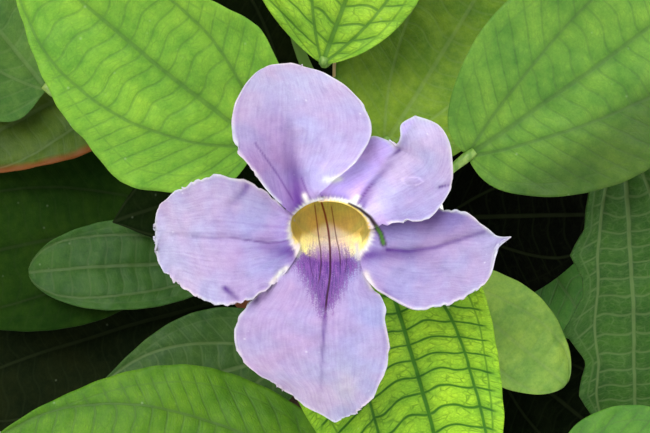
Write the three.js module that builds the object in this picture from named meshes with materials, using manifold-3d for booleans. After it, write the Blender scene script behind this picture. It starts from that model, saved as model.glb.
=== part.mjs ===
// A potted clock vine: a terracotta pot of soil, four canes tied at the top, four twining
// shoots with lobed leaves, and one open five-lobed flower at the front.
// Millimetres, +Z up, the flower looks towards -Y. The origin is the centre of the pot's underside.
import * as THREE from 'three';
import { mergeVertices } from 'three/addons/utils/BufferGeometryUtils.js';
import Module from 'manifold-3d';

const wasm = await Module();
wasm.setup();

// Pot and soil
const POT_HEIGHT = 150;
const POT_FOOT_RADIUS = 62;
const POT_TOP_RADIUS = 86;
const POT_WALL = 6;
const COLLAR_HEIGHT = 28;
const COLLAR_PROUD = 5;
const DRAIN_RADIUS = 5;
const DRAIN_CIRCLE = 30;
const SOIL_TOP = 136;
const SOIL_MOUND = 5;
const POT_SIDES = 30;
const GAP = 0.3;

// Canes and their tie
const CANE_RADIUS = 3.5;
const CANE_DEPTH = 70;
const CANE_FOOT_CIRCLE = 48;
const CANE_TOP_CIRCLE = 8.5;
const TIE_HEIGHT = 462;
const CANE_ABOVE_TIE = 14;
const CANE_AZIMUTHS = [270, 0, 90, 180];
const TIE_CORD = 2.2;
const TIE_TURNS = 3;

// Shoots
const STEM_RADIUS = 1.8;
const STEM_DEPTH = 24;
const STEM_TURNS = 3;
const STEM_STEPS = 36;
const STEM_SIDES = 5;
const PETIOLE_RADIUS = 0.95;

// Flower: a plane that faces the viewer, its centre, and how far it is tipped back
const FACE = new THREE.Vector3(-4, -112, 268);
const FACE_TILT = THREE.MathUtils.degToRad(28);
const MOUTH_HALF_WIDTH = 8.7;
const MOUTH_HALF_HEIGHT = 6.8;
const TUBE_DEPTH = 40;
const TUBE_SLOPE = 0.56;
const TUBE_WALL = 0.9;
const PETAL_THICKNESS = 0.7;
const PETAL_ROWS = 10;
const PETAL_COLUMNS = 6;

// Leaves
const BLADE_THICKNESS = 0.7;
const HERO_ROWS = 7;
const HERO_COLUMNS = 4;
const ANGLED_ROWS = [0, 0.1, 0.24, 0.31, 0.42, 0.53, 0.64, 0.74, 0.88, 1];
const ROW_STATIONS = [0, 0.05, 0.18, 0.36, 0.66, 1];
const TAPER = 1.05;
const WAVES = 2.3;
const SEED = 20;

const up = new THREE.Vector3(0, 0, 1);
const faceRight = new THREE.Vector3(1, 0, 0);
const faceUp = new THREE.Vector3(0, Math.sin(FACE_TILT), Math.cos(FACE_TILT));
const faceOut = new THREE.Vector3(0, -Math.cos(FACE_TILT), Math.sin(FACE_TILT));

// Directions and points given as right, up and forward of the flower's centre
function faceDirection([a, b, c]) {
  const direction = faceRight.clone().multiplyScalar(a);
  return direction.addScaledVector(faceUp, b).addScaledVector(faceOut, c);
}

function atFace(point) {
  return faceDirection(point).add(FACE);
}

function vec(values) {
  return new THREE.Vector3(...values);
}

// Closed bodies and their joins

function solid(geometry) {
  const bare = geometry.clone();
  bare.deleteAttribute('normal');
  bare.deleteAttribute('uv');
  const merged = mergeVertices(bare, 1e-4);
  const vertProperties = new Float32Array(merged.attributes.position.array);
  const triVerts = new Uint32Array(merged.index.array);
  return new wasm.Manifold(new wasm.Mesh({ numProp: 3, vertProperties, triVerts }));
}

function fused(geometries) {
  return wasm.Manifold.union(geometries.map(solid)).simplify(0.05);
}

function geometryOf(body) {
  const mesh = body.getMesh();
  const geometry = new THREE.BufferGeometry();
  geometry.setAttribute('position', new THREE.BufferAttribute(mesh.vertProperties, 3));
  geometry.setIndex(new THREE.BufferAttribute(mesh.triVerts, 1));
  geometry.computeVertexNormals();
  return geometry;
}

function indexed(points, triangles) {
  const geometry = new THREE.BufferGeometry();
  const numbers = points.flatMap((p) => p.toArray());
  geometry.setAttribute('position', new THREE.Float32BufferAttribute(numbers, 3));
  geometry.setIndex(triangles);
  return geometry;
}

// A round rod that follows a list of points, its radius given at each one.
function rod(points, radiusAt, sides) {
  const curve = new THREE.CatmullRomCurve3(points);
  const steps = points.length - 1;
  const frames = curve.computeFrenetFrames(steps, false);
  const ring = [];
  const triangles = [];
  for (let i = 0; i <= steps; i += 1) {
    for (let k = 0; k < sides; k += 1) {
      const turn = (2 * Math.PI * k) / sides;
      const side = frames.normals[i].clone().multiplyScalar(Math.cos(turn) * radiusAt(i / steps));
      side.addScaledVector(frames.binormals[i], Math.sin(turn) * radiusAt(i / steps));
      ring.push(side.add(points[i]));
    }
  }
  for (let i = 0; i < steps; i += 1) {
    for (let k = 0; k < sides; k += 1) {
      const here = i * sides + k;
      const next = i * sides + ((k + 1) % sides);
      triangles.push(here, next, next + sides, here, next + sides, here + sides);
    }
  }
  const last = steps * sides;
  for (let k = 1; k < sides - 1; k += 1) {
    triangles.push(0, k + 1, k, last, last + k, last + k + 1);
  }
  return indexed(ring, triangles);
}

// A thin sheet of rows between a first and a last point, given its face and its back.
function sheet(rows, thicken) {
  const points = [];
  const triangles = [];
  const starts = [];
  for (const row of rows) {
    starts.push(points.length);
    points.push(...row);
  }
  const count = points.length;
  points.push(...points.map(thicken));
  const face = (a, b, c) => {
    triangles.push(a, b, c, a + count, c + count, b + count);
  };
  const rim = (a, b) => {
    triangles.push(a, b, b + count, a, b + count, a + count);
  };
  for (let j = 0; j < rows.length - 1; j += 1) {
    const here = starts[j];
    const there = starts[j + 1];
    const wide = rows[j].length - 1;
    const wideNext = rows[j + 1].length - 1;
    for (let i = 0; i < Math.max(wide, wideNext); i += 1) {
      if (wide === 0) {
        face(here, there + i + 1, there + i);
      } else if (wideNext === 0) {
        face(here + i, here + i + 1, there);
      } else {
        face(here + i, here + i + 1, there + i + 1);
        face(here + i, there + i + 1, there + i);
      }
    }
    rim(here, there);
    rim(there + wideNext, here + wide);
  }
  const firstWidth = rows[0].length - 1;
  for (let i = 0; i < firstWidth; i += 1) {
    rim(starts[0] + i + 1, starts[0] + i);
  }
  return indexed(points, triangles);
}

// Seeded numbers from 0 to 1
let state = SEED;
function draw() {
  state = (Math.imul(state, 1664525) + 1013904223) >>> 0;
  return state / 4294967296;
}

function between(low, high) {
  return low + (high - low) * draw();
}

// Leaf blade: u runs from one edge to the other, v from the petiole to the tip

const TEETH = {
  smooth: [],
  corner: [[0.25, 0.1, 0.16]],
  lobed: [[0.15, 0.1, 0.12], [0.33, 0.12, 0.1], [0.51, 0.22, 0.14]],
  angled: [[0.31, 0.24, 0.07], [0.53, 0.4, 0.1], [0.74, 0.22, 0.09]],
};

function makeLeaf(base, tip, facing, width, form) {
  const y = tip.clone().sub(base).normalize();
  const z = facing.clone().addScaledVector(y, -facing.dot(y)).normalize();
  const x = y.clone().cross(z);
  const plain = { arch: 0.06, fold: 8, heart: 0.06, round: 0.5, taper: TAPER, lean: 0, teeth: 'smooth' };
  const length = tip.distanceTo(base);
  return { ...plain, wave: 0.01, phase: 0, ...form, base, tip, width, x, y, z, length };
}

function bladePoint(leaf, u, v) {
  const peak = leaf.round / (leaf.round + leaf.taper);
  let half = 0;
  if (v > 0 && v < 1) {
    half = (v / peak) ** leaf.round * ((1 - v) / (1 - peak)) ** leaf.taper;
    for (const [at, tall, wide] of TEETH[leaf.teeth]) {
      half += tall * Math.max(0, 1 - Math.abs(v - at) / wide) * Math.abs(u) ** 4;
    }
  }
  const across = (u * half * leaf.width * (1 + Math.sign(u) * leaf.lean)) / 2;
  const hook = leaf.heart * Math.abs(u) ** 1.5 * (v / 0.05) * Math.exp(1 - v / 0.05);
  const ripple = Math.sin(2 * Math.PI * WAVES * v + leaf.phase + (u > 0 ? 1.3 : 0));
  let rise = leaf.arch * 4 * v * (1 - v) * leaf.length;
  rise += Math.tan(THREE.MathUtils.degToRad(leaf.fold)) * Math.abs(across);
  rise += leaf.wave * leaf.length * Math.abs(u) ** 3 * ripple * Math.min(1, 4 * v);
  const point = leaf.base.clone().addScaledVector(leaf.x, across);
  return point.addScaledVector(leaf.y, (v - hook) * leaf.length).addScaledVector(leaf.z, rise);
}

function blade(leaf, stations, columns) {
  const rows = stations.map((v) => {
    const cells = v > 0 && v < 1 ? columns : 0;
    const row = [];
    for (let i = 0; i <= cells; i += 1) {
      row.push(bladePoint(leaf, cells ? (2 * i) / cells - 1 : 0, v));
    }
    return row;
  });
  return sheet(rows, (p) => p.clone().addScaledVector(leaf.z, -BLADE_THICKNESS));
}

// The stalk of a leaf leaves the stem away from the cane and arrives along the midrib.
function petiolePoints(leaf, from, steps) {
  const reach = leaf.base.distanceTo(from);
  const start = awayFromCane(from).multiplyScalar(0.35 * reach).add(from);
  const end = bladePoint(leaf, 0, 0.03).addScaledVector(leaf.z, -BLADE_THICKNESS / 2);
  const before = leaf.base.clone().addScaledVector(leaf.y, -0.22 * reach);
  const curve = new THREE.CubicBezierCurve3(from, start, before, end);
  return curve.getPoints(steps);
}

// Canes and the routes of the shoots

function caneFoot(azimuth) {
  const turn = THREE.MathUtils.degToRad(azimuth);
  return new THREE.Vector3(CANE_FOOT_CIRCLE * Math.cos(turn), CANE_FOOT_CIRCLE * Math.sin(turn), SOIL_TOP);
}

function caneAt(azimuth, z) {
  const foot = caneFoot(azimuth);
  const share = (z - SOIL_TOP) / (TIE_HEIGHT - SOIL_TOP);
  const scale = 1 + share * (CANE_TOP_CIRCLE / CANE_FOOT_CIRCLE - 1);
  return new THREE.Vector3(foot.x * scale, foot.y * scale, z);
}

function awayFromCane(point) {
  const spots = CANE_AZIMUTHS.map((azimuth) => caneAt(azimuth, point.z));
  spots.sort((a, b) => a.distanceToSquared(point) - b.distanceToSquared(point));
  return point.clone().sub(spots[0]).normalize();
}

// A shoot rises from the soil beside its cane and winds up it.
function twiningRoute(azimuth, top, startTurn) {
  const points = [];
  for (let i = 0; i <= STEM_STEPS; i += 1) {
    const share = i / STEM_STEPS;
    const z = SOIL_TOP - STEM_DEPTH + share * (top - SOIL_TOP + STEM_DEPTH);
    const climb = Math.max(0, (z - SOIL_TOP - 6) / (top - SOIL_TOP - 6));
    const stand = CANE_RADIUS + STEM_RADIUS + 0.5 + 8 * Math.exp(-12 * climb);
    const turn = THREE.MathUtils.degToRad(azimuth + startTurn) + 2 * Math.PI * STEM_TURNS * climb;
    const centre = caneAt(azimuth, z);
    points.push(centre.add(new THREE.Vector3(stand * Math.cos(turn), stand * Math.sin(turn), 0)));
  }
  return points;
}

// The flowering shoot stands in front of the others, free of its cane up to the flower.
const floweringKnots = [
  [1, -62, 112], [1, -64, 136], [4, -70, 162], [-2, -74, 188], [3, -70, 212], [-2, -58, 238],
  [5, -45, 264], [1, -40, 288], [-7, -37, 314], [-6, -35, 342], [4, -32, 370], [-2, -27, 398],
].map(vec);
const floweringRoute = new THREE.CatmullRomCurve3(floweringKnots).getPoints(STEM_STEPS);
const shootRoutes = [
  floweringRoute,
  twiningRoute(0, 440, -60),
  twiningRoute(90, 452, 40),
  twiningRoute(180, 446, 120),
];

function pointAtHeight(route, z) {
  let best = route[0];
  for (const point of route) {
    if (Math.abs(point.z - z) < Math.abs(best.z - z)) best = point;
  }
  return best.clone();
}

// Leaves round the flower, right, up and forward of its centre: petiole end, tip, facing, width,
// shoot, height where the petiole leaves the shoot, and form
const flowerLeaves = [
  [[-17, 21, -34], [-79, 73, -18], [-0.35, -0.1, 1], 48, 0, 240,
    { lean: -0.08, teeth: 'corner', heart: 0.04 }],
  [[-2, 41, -36], [20, 100, -26], [0, -0.1, 1], 45, 0, 292,
    { round: 0.8, heart: 0, fold: 10, lean: -0.25, wave: 0.02 }],
  [[33, 18, -30], [100, 67, -20], [0.1, -0.1, 1], 52.5, 0, 238,
    { fold: 5, heart: 0.03, round: 0.65, taper: 0.95, lean: 0.03 }],
  [[13, -8, -32], [35, -88, -36], [0.1, 0.3, 1], 52, 0, 225,
    { fold: 5, round: 0.3, taper: 1, lean: 0.18, wave: 0.02 }],
  [[-3, -62.5, -44], [-91, -58.5, -38], [0, 0.35, 1], 52, 0, 188,
    { heart: 0.05, round: 0.55, taper: 0.9 }],
  [[74.2, 21, -50], [79, -62, -62], [0.1, 0, 1], 27, 1, 262,
    { teeth: 'angled', fold: 5, round: 0.45, taper: 0.45 }],
  [[29, -14, -62], [61, -40, -58], [0.1, 0.1, 1], 26, 0, 212, { taper: 0.6, fold: 4, heart: 0.03 }],
  [[58, -62.5, -46], [112, -74, -40], [0.1, 0.4, 1], 44, 0, 188, { heart: 0.05 }],
  [[14, 22, -54], [46, 74, -66], [0.1, 0, 1], 44, 0, 264, { heart: 0.05, lean: -0.1 }],
  [[-75, 37, -72], [-112, 84, -62], [0, 0.1, 1], 44, 3, 262, { teeth: 'corner' }],
  [[-54, 46, -86], [-108, 15, -80], [0, 0.2, 1], 36, 3, 250, {}],
  [[-28, -9, -84], [-82, -11.6, -82], [0, 0.2, 1], 25, 3, 222, { round: 0.6, taper: 0.6 }],
  [[-12, -33, -70], [-68, -50, -66], [0, 0.2, 1], 34, 0, 212, {}],
  [[31, 3, -82], [78, 4, -78], [0, 0.1, 1], 46, 0, 246, {}],
  [[-12, 34, -62], [-44, 70, -66], [0, 0.1, 1], 42, 0, 280, {}],
  [[-28, -20, -112], [-112, -46, -107], [0, 0.3, 1], 54, 3, 204, { taper: 0.6 }],
  [[-6, 17, -76], [-58, 2, -72], [0, 0.2, 1], 40, 0, 262, {}],
  [[6, 40, -84], [-6, 78, -92], [0, 0.1, 1], 34, 2, 250, {}],
  [[46, -34, -108], [84, -64, -92], [0, 0.2, 1], 42, 1, 200, {}],
  [[-42, 4, -98], [-116, -12, -92], [0, 0.2, 1], 52, 3, 236, { taper: 0.6 }],
];

// What the leaves keep clear of: a place, its room, and the kind that is there
const occupied = [];
const caneSpots = [];
function occupy(points, room) {
  for (const point of points) occupied.push([point, room]);
}

function clear(points, room, spots) {
  const overPot = POT_HEIGHT + 2 + room;
  const apart = (p) => spots.every(([q, r]) => p.distanceToSquared(q) > (room + r) ** 2);
  return points.every((p) => p.z > overPot && apart(p));
}

const SAMPLE_ACROSS = [-0.9, -0.6, -0.3, 0, 0.3, 0.6, 0.9];
const SAMPLE_ROWS = 9;
const BLADE_ROOM = 3.4;
const STALK_ROOM = 1.6;

function bladeSamples(leaf) {
  const points = [];
  for (let j = 0; j < SAMPLE_ROWS; j += 1) {
    for (const u of SAMPLE_ACROSS) points.push(bladePoint(leaf, u, 0.06 + 0.11 * j));
  }
  return points;
}

function place(leaf, from) {
  occupy(bladeSamples(leaf), BLADE_ROOM);
  occupy(petiolePoints(leaf, from, 8).slice(3, 8), STALK_ROOM);
}

for (const azimuth of CANE_AZIMUTHS) {
  for (let z = SOIL_TOP; z <= TIE_HEIGHT; z += 5) caneSpots.push([caneAt(azimuth, z), CANE_RADIUS + 0.6]);
}
occupied.push(...caneSpots);
for (const route of shootRoutes) occupy(route, STEM_RADIUS + 0.4);
for (let c = -4; c >= -TUBE_DEPTH; c -= 4) {
  occupy([atFace([0, -TUBE_SLOPE * c, c])], 9);
}

const shootLeaves = shootRoutes.map(() => []);
for (const [base, tip, facing, width, shoot, height, form] of flowerLeaves) {
  const leaf = makeLeaf(atFace(base), atFace(tip), faceDirection(facing), width, form);
  const from = pointAtHeight(shootRoutes[shoot], height);
  leaf.hero = true;
  place(leaf, from);
  shootLeaves[shoot].push([leaf, from]);
}
occupy([[0, 0], [-24, 22], [20, 12], [28, -8], [0, -26], [-26, 0]].map(([a, b]) => atFace([a, b, -6])), 16);

// The gap in the foliage that the flower looks out of, right, up and forward of its centre
const GAP_HALF_WIDTH = 88;
const GAP_LOW = -62;
const GAP_HIGH = 66;
const GAP_BACK = -78;

function outsideGap(point) {
  const offset = point.clone().sub(FACE);
  const above = offset.dot(faceUp);
  return Math.abs(offset.dot(faceRight)) > GAP_HALF_WIDTH
    || above < GAP_LOW || above > GAP_HIGH || offset.dot(faceOut) < GAP_BACK;
}

// The other leaves: pairs up each shoot, turned outwards, each one tried again until it is clear.
const PAIR_SPACING = 33;
const FIRST_PAIR = 172;
const TRIES = 60;
const KINDS = ['smooth', 'corner', 'corner', 'lobed'];

function outwardLeaf(from, side) {
  const share = (from.z - FIRST_PAIR) / (TIE_HEIGHT - FIRST_PAIR);
  const own = Math.atan2(from.y, from.x);
  const azimuth = own + side * between(0.15, 1.25);
  const out = new THREE.Vector3(Math.cos(azimuth), Math.sin(azimuth), 0);
  const stalk = between(26, 52);
  const rise = between(0.1, 0.7);
  const base = from.clone().addScaledVector(out, stalk * Math.cos(rise));
  base.addScaledVector(up, stalk * Math.sin(rise));
  const swing = azimuth + side * between(-0.3, 0.7);
  const droop = between(0.5, 1.2) - 0.35 * share;
  const length = between(64, 88) * (1 - 0.22 * share);
  const level = Math.cos(droop);
  const along = new THREE.Vector3(Math.cos(swing) * level, Math.sin(swing) * level, -Math.sin(droop));
  const facing = out.clone().addScaledVector(up, between(0.5, 1.1));
  facing.addScaledVector(new THREE.Vector3(-out.y, out.x, 0), between(-0.3, 0.3));
  const form = {
    arch: between(0.04, 0.12), fold: between(4, 12), heart: between(0.04, 0.08),
    lean: between(-0.08, 0.08), teeth: KINDS[Math.floor(between(0, KINDS.length))],
    wave: between(0.004, 0.02), phase: between(0, 2 * Math.PI),
  };
  const tip = base.clone().addScaledVector(along, length);
  return makeLeaf(base, tip, facing, length * between(0.56, 0.68), form);
}

function fits(leaf, from) {
  const stalk = petiolePoints(leaf, from, 8);
  const samples = bladeSamples(leaf);
  return samples.every(outsideGap) && clear(samples, BLADE_ROOM, occupied)
    && clear(stalk.slice(1), STALK_ROOM, caneSpots)
    && clear(stalk.slice(2, 8), STALK_ROOM, occupied);
}

shootRoutes.forEach((route, shoot) => {
  const top = route[route.length - 1].z;
  for (let z = FIRST_PAIR; z < top; z += PAIR_SPACING) {
    for (const side of [-1, 1]) {
      for (let attempt = 0; attempt < TRIES; attempt += 1) {
        const from = pointAtHeight(route, z + between(-0.4, 0.4) * PAIR_SPACING);
        const leaf = outwardLeaf(from, side);
        if (fits(leaf, from)) {
          place(leaf, from);
          shootLeaves[shoot].push([leaf, from]);
          break;
        }
      }
    }
  }
});

// Petals: rows of a left point, a right point and the height between them, from the throat out.
// Points are right, up and forward of the flower's centre.
const lobes = {
  upper: [
    [-7.7, 3, -1], [-1.5, 6.7, -1], 0,
    [-11, 5.8, 1], [-2.2, 8.6, 2], 0.5,
    [-17, 13, 2], [1, 12, 4], 0,
    [-21, 18.6, 2], [6, 16, 4.5], 0.5,
    [-22.2, 24, 1], [8.9, 22.6, 3.5], 1.5,
    [-21.4, 29.5, 0], [8, 27.6, 2.5], 1.5,
    [-18.8, 34.8, -1.5], [3.6, 32.8, 1.5], 1.5,
    [-15, 37.6, -2.5], [-2.6, 36.3, 0], 0.5,
    [-9, 38.5, -2.5], [-9, 38.5, -2.5], 0,
  ],
  upper_right: [
    [-1.2, 6.7, -1.6], [8.7, 0.6, -1.2], -0.2,
    [2, 12, -3], [11, 1.6, 0], 0,
    [6.2, 18.4, -4], [17.5, 2.3, 1], 0.5,
    [9, 21.6, -4], [23.1, 3.8, 1], 1,
    [12.8, 20.9, -3.5], [26.6, 9, 1], 1.2,
    [14.8, 19.4, -1.5], [27.3, 15.6, 1], 1,
    [15.6, 21.4, 1.5], [26.4, 20.8, 1], 0.6,
    [15.6, 24.2, 2], [24, 24.2, 1], 0.3,
    [19, 26.2, 1.5], [19, 26.2, 1.5], 0,
  ],
  right: [
    [8.6, 0.2, -2.2], [7.3, -3.6, -1.2], -0.2,
    [12, 0.8, -3.2], [9, -11.4, 0], -0.6,
    [17, 3, -3.6], [14.6, -15.6, 0], -1,
    [24, 5.2, -3.6], [20, -17.4, -0.5], -1,
    [30, 4.6, -3.4], [26.4, -16.3, -1], -1,
    [34.6, 1.6, -3.2], [31.8, -14, -1.5], -0.6,
    [37.4, -0.4, -3], [35.6, -10.6, -2], -0.4,
    [39.2, -1, -3], [37.6, -4.4, -2.5], 0,
    [41, -1.1, -3], [41, -1.1, -3], 0,
  ],
  lower: [
    [6.9, -4.2, -0.9], [-7.3, -3.6, -0.9], 0,
    [8.6, -11.6, -1.2], [-11.6, -9.4, -0.6], 0.4,
    [11.6, -15.6, -1.4], [-15.6, -14.8, -1.4], 1,
    [12.4, -20.6, -1.6], [-20.6, -19, -1.8], 2,
    [13.4, -25.8, -2], [-21.6, -25, -2.2], 2,
    [12.2, -32, -2.6], [-18.8, -30.6, -2.8], 1.6,
    [9.4, -38, -3.6], [-11.6, -35.4, -3.6], 1.2,
    [5.6, -41.4, -4.6], [-5.8, -39.8, -4.6], 0.6,
    [1, -43.6, -5.4], [1, -43.6, -5.4], 0,
  ],
  left: [
    [-6.8, -4.3, -1.2], [-7.3, 3.8, -1.2], 0,
    [-11.6, -9.2, 0], [-11.4, 5.8, -0.6], -0.2,
    [-15.4, -13.6, 0.4], [-15.4, 9.8, -1], -0.6,
    [-20.4, -16, 0.4], [-20.4, 11.8, -1], -0.8,
    [-26.4, -16.2, 0], [-26.4, 12.8, -1], -0.6,
    [-32, -13.6, -0.8], [-32.4, 10.6, -1.4], -0.4,
    [-36.4, -10.2, -1.6], [-36.6, 8.2, -2], 0,
    [-39, -7.4, -2.4], [-39.4, 5, -2.6], 0,
    [-40, -1.4, -2.8], [-40, -1.4, -2.8], 0,
  ],
};

// Where the rim of the throat runs between two of its points.
function alongMouth(from, to, share) {
  const start = Math.atan2(from.y / MOUTH_HALF_HEIGHT, from.x / MOUTH_HALF_WIDTH);
  let sweep = Math.atan2(to.y / MOUTH_HALF_HEIGHT, to.x / MOUTH_HALF_WIDTH) - start;
  sweep -= 2 * Math.PI * Math.round(sweep / (2 * Math.PI));
  const turn = start + sweep * share;
  return new THREE.Vector3(MOUTH_HALF_WIDTH * Math.cos(turn), MOUTH_HALF_HEIGHT * Math.sin(turn), from.z);
}

function petalRows(knots) {
  const left = new THREE.CatmullRomCurve3(knots.filter((_, i) => i % 3 === 0).map(vec));
  const right = new THREE.CatmullRomCurve3(knots.filter((_, i) => i % 3 === 1).map(vec));
  const swells = knots.filter((_, i) => i % 3 === 2);
  const rows = [];
  for (let j = 0; j <= PETAL_ROWS; j += 1) {
    const t = 1 - (1 - j / PETAL_ROWS) ** 1.15;
    const a = left.getPoint(t);
    const b = right.getPoint(t);
    const span = t * (swells.length - 1);
    const step = Math.min(Math.floor(span), swells.length - 2);
    const swell = swells[step] + (span - step) * (swells[step + 1] - swells[step]);
    const row = [];
    for (let i = 0; i <= PETAL_COLUMNS; i += 1) {
      const s = i / PETAL_COLUMNS;
      const p = a.clone().lerp(b, s);
      const rim = alongMouth(left.getPoint(0), right.getPoint(0), s);
      const chord = left.getPoint(0).lerp(right.getPoint(0), s);
      p.addScaledVector(rim.sub(chord), (1 - t) ** 4);
      p.z += 4 * s * (1 - s) * swell;
      row.push(atFace(p.toArray()));
    }
    rows.push(j === PETAL_ROWS ? [row[0]] : row);
  }
  return rows;
}

function petal(knots) {
  return sheet(petalRows(knots), (p) => p.clone().addScaledVector(faceOut, -PETAL_THICKNESS));
}

// Throat and tube: a bell behind the petals that narrows to a neck at the stalk
const MOUTH_DEPTH = -1.2;
const tubeForm = [
  [0, 1, 1], [-6, 1.08, 1.1], [-12, 1.04, 1.1], [-18, 0.92, 1], [-24, 0.74, 0.84], [-29, 0.54, 0.64],
  [-34, 0.44, 0.52], [-TUBE_DEPTH, 0.4, 0.48],
];
const TUBE_SIDES = 16;

// The tube's middle climbs away from the mouth, so that the floor of the throat shows from the front.
function onTubeAxis(c, a = 0, b = 0) {
  return atFace([a, b - TUBE_SLOPE * (c - MOUTH_DEPTH), c]);
}

function tube() {
  const outer = [];
  const inner = [];
  for (const [c, wide, tall] of tubeForm) {
    for (const [ring, wall] of [[outer, TUBE_WALL], [inner, 0]]) {
      for (let k = 0; k < TUBE_SIDES; k += 1) {
        const turn = (2 * Math.PI * k) / TUBE_SIDES;
        const a = (MOUTH_HALF_WIDTH * wide + wall) * Math.cos(turn);
        const b = (MOUTH_HALF_HEIGHT * tall + wall) * Math.sin(turn);
        ring.push(onTubeAxis(c + MOUTH_DEPTH, a, b));
      }
    }
  }
  const points = [...outer, ...inner];
  const count = outer.length;
  const triangles = [];
  const quad = (a, b, c, d) => {
    triangles.push(a, b, c, a, c, d);
  };
  for (let k = 0; k < TUBE_SIDES; k += 1) {
    const n = (k + 1) % TUBE_SIDES;
    for (let j = 0; j < tubeForm.length - 1; j += 1) {
      const row = j * TUBE_SIDES;
      const next = row + TUBE_SIDES;
      quad(row + k, next + k, next + n, row + n);
      quad(count + row + k, count + row + n, count + next + n, count + next + k);
    }
    const end = (tubeForm.length - 1) * TUBE_SIDES;
    quad(k, n, count + n, count + k);
    quad(end + k, count + end + k, count + end + n, end + n);
  }
  return indexed(points, triangles);
}

// Inside the throat: a pistil on the receptacle, and four stamens that stand on a ring round it.
// Behind it: the receptacle, two boat-shaped bracts round the tube, and the stalk to the shoot.
const RECEPTACLE_RADIUS = 5.6;
const RECEPTACLE_DEPTH = 3;
const receptacleTop = MOUTH_DEPTH - TUBE_DEPTH - GAP;
const BRACT_LENGTH = 27;
const BRACT_WIDTH = 17;
const stalkKnots = [
  [-6, -38, 301], [-12, -44, 305], [-14, -49, 298], [-11, -51, 285], [-6, -51, 274], [-4, -56, 270],
];

function pistilBody() {
  const points = [0, 0.08, 0.2, 0.5, 0.88, 0.95, 1].map((t) => {
    const c = receptacleTop + 1 + 30 * t;
    return onTubeAxis(c, 0, 3.2 * t * t);
  });
  const radii = [1.5, 1.7, 0.5, 0.45, 0.45, 1, 0.8];
  return solid(rod(points, (t) => radii[Math.round(6 * t)], 7));
}

function stamensBody() {
  const ring = new THREE.TorusGeometry(2.5, 0.45, 5, 12);
  ring.rotateX(Math.PI / 2 - FACE_TILT).translate(...onTubeAxis(-37).toArray());
  const parts = [ring];
  const radii = [0.45, 0.4, 0.4, 0.4, 1, 1.1, 0.5];
  for (const turn of [30, 75, 105, 150]) {
    const side = THREE.MathUtils.degToRad(turn);
    const points = radii.map((_, i) => {
      const spread = 2.3 + 1.6 * (i / 6);
      return onTubeAxis(-37 + 3.6 * i, 1.15 * spread * Math.cos(side), spread * Math.sin(side));
    });
    parts.push(rod(points, (t) => radii[Math.round(6 * t)], 5));
  }
  return fused(parts);
}

function bract(side) {
  const base = onTubeAxis(receptacleTop - 0.5 * RECEPTACLE_DEPTH, 0, side * (RECEPTACLE_RADIUS - 0.6));
  const tip = onTubeAxis(receptacleTop + BRACT_LENGTH, 0, side * 12);
  const form = { fold: -24, arch: 0.1, heart: 0, wave: 0, round: 0.45, taper: 0.8 };
  const leaf = makeLeaf(base, tip, faceDirection([0, side, 0]), BRACT_WIDTH, form);
  return blade(leaf, [0, 0.08, 0.25, 0.5, 0.75, 0.92, 1], 4);
}

function stalkBody() {
  const disc = new THREE.CylinderGeometry(RECEPTACLE_RADIUS, RECEPTACLE_RADIUS * 0.8, RECEPTACLE_DEPTH, 10);
  disc.rotateX(Math.PI - FACE_TILT);
  disc.translate(...onTubeAxis(receptacleTop - RECEPTACLE_DEPTH / 2).toArray());
  const end = onTubeAxis(receptacleTop - 0.6 * RECEPTACLE_DEPTH);
  const route = new THREE.CatmullRomCurve3([...stalkKnots.map(vec), end]).getPoints(16);
  return fused([disc, rod(route, (t) => 1.2 + 0.8 * t * t, 6), bract(1), bract(-1)]);
}

// Pot, soil, canes and tie

function turned(profile, sides) {
  const geometry = new THREE.LatheGeometry(profile.map(([r, z]) => new THREE.Vector2(r, z)), sides);
  return geometry.rotateX(Math.PI / 2);
}

function potWall(z) {
  return POT_FOOT_RADIUS + ((POT_TOP_RADIUS - POT_FOOT_RADIUS) * z) / POT_HEIGHT;
}

function upright(radius, low, high, x, y, sides) {
  return new THREE.CylinderGeometry(radius, radius, high - low, sides)
    .rotateX(Math.PI / 2)
    .translate(x, y, (high + low) / 2);
}

function potBody() {
  const collarFoot = POT_HEIGHT - COLLAR_HEIGHT;
  const profile = [
    [0, 0], [POT_FOOT_RADIUS - 2, 0], [POT_FOOT_RADIUS, 2], [potWall(collarFoot), collarFoot],
    [potWall(collarFoot) + COLLAR_PROUD, collarFoot + 2], [POT_TOP_RADIUS + COLLAR_PROUD, POT_HEIGHT - 3],
    [POT_TOP_RADIUS + COLLAR_PROUD - 3, POT_HEIGHT], [POT_TOP_RADIUS - POT_WALL + 2, POT_HEIGHT],
    [POT_TOP_RADIUS - POT_WALL, POT_HEIGHT - 2], [potWall(POT_WALL) - POT_WALL, POT_WALL], [0, POT_WALL],
  ];
  let body = solid(turned(profile, POT_SIDES));
  for (let k = 0; k < 3; k += 1) {
    const turn = (2 * Math.PI * k) / 3;
    const [x, y] = [DRAIN_CIRCLE * Math.cos(turn), DRAIN_CIRCLE * Math.sin(turn)];
    body = body.subtract(solid(upright(DRAIN_RADIUS, -5, POT_WALL + 5, x, y, 12)));
  }
  return body;
}

function slantedRod(azimuth, radius, low, high, sides) {
  return rod([caneAt(azimuth, low), caneAt(azimuth, high)], () => radius, sides);
}

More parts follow.
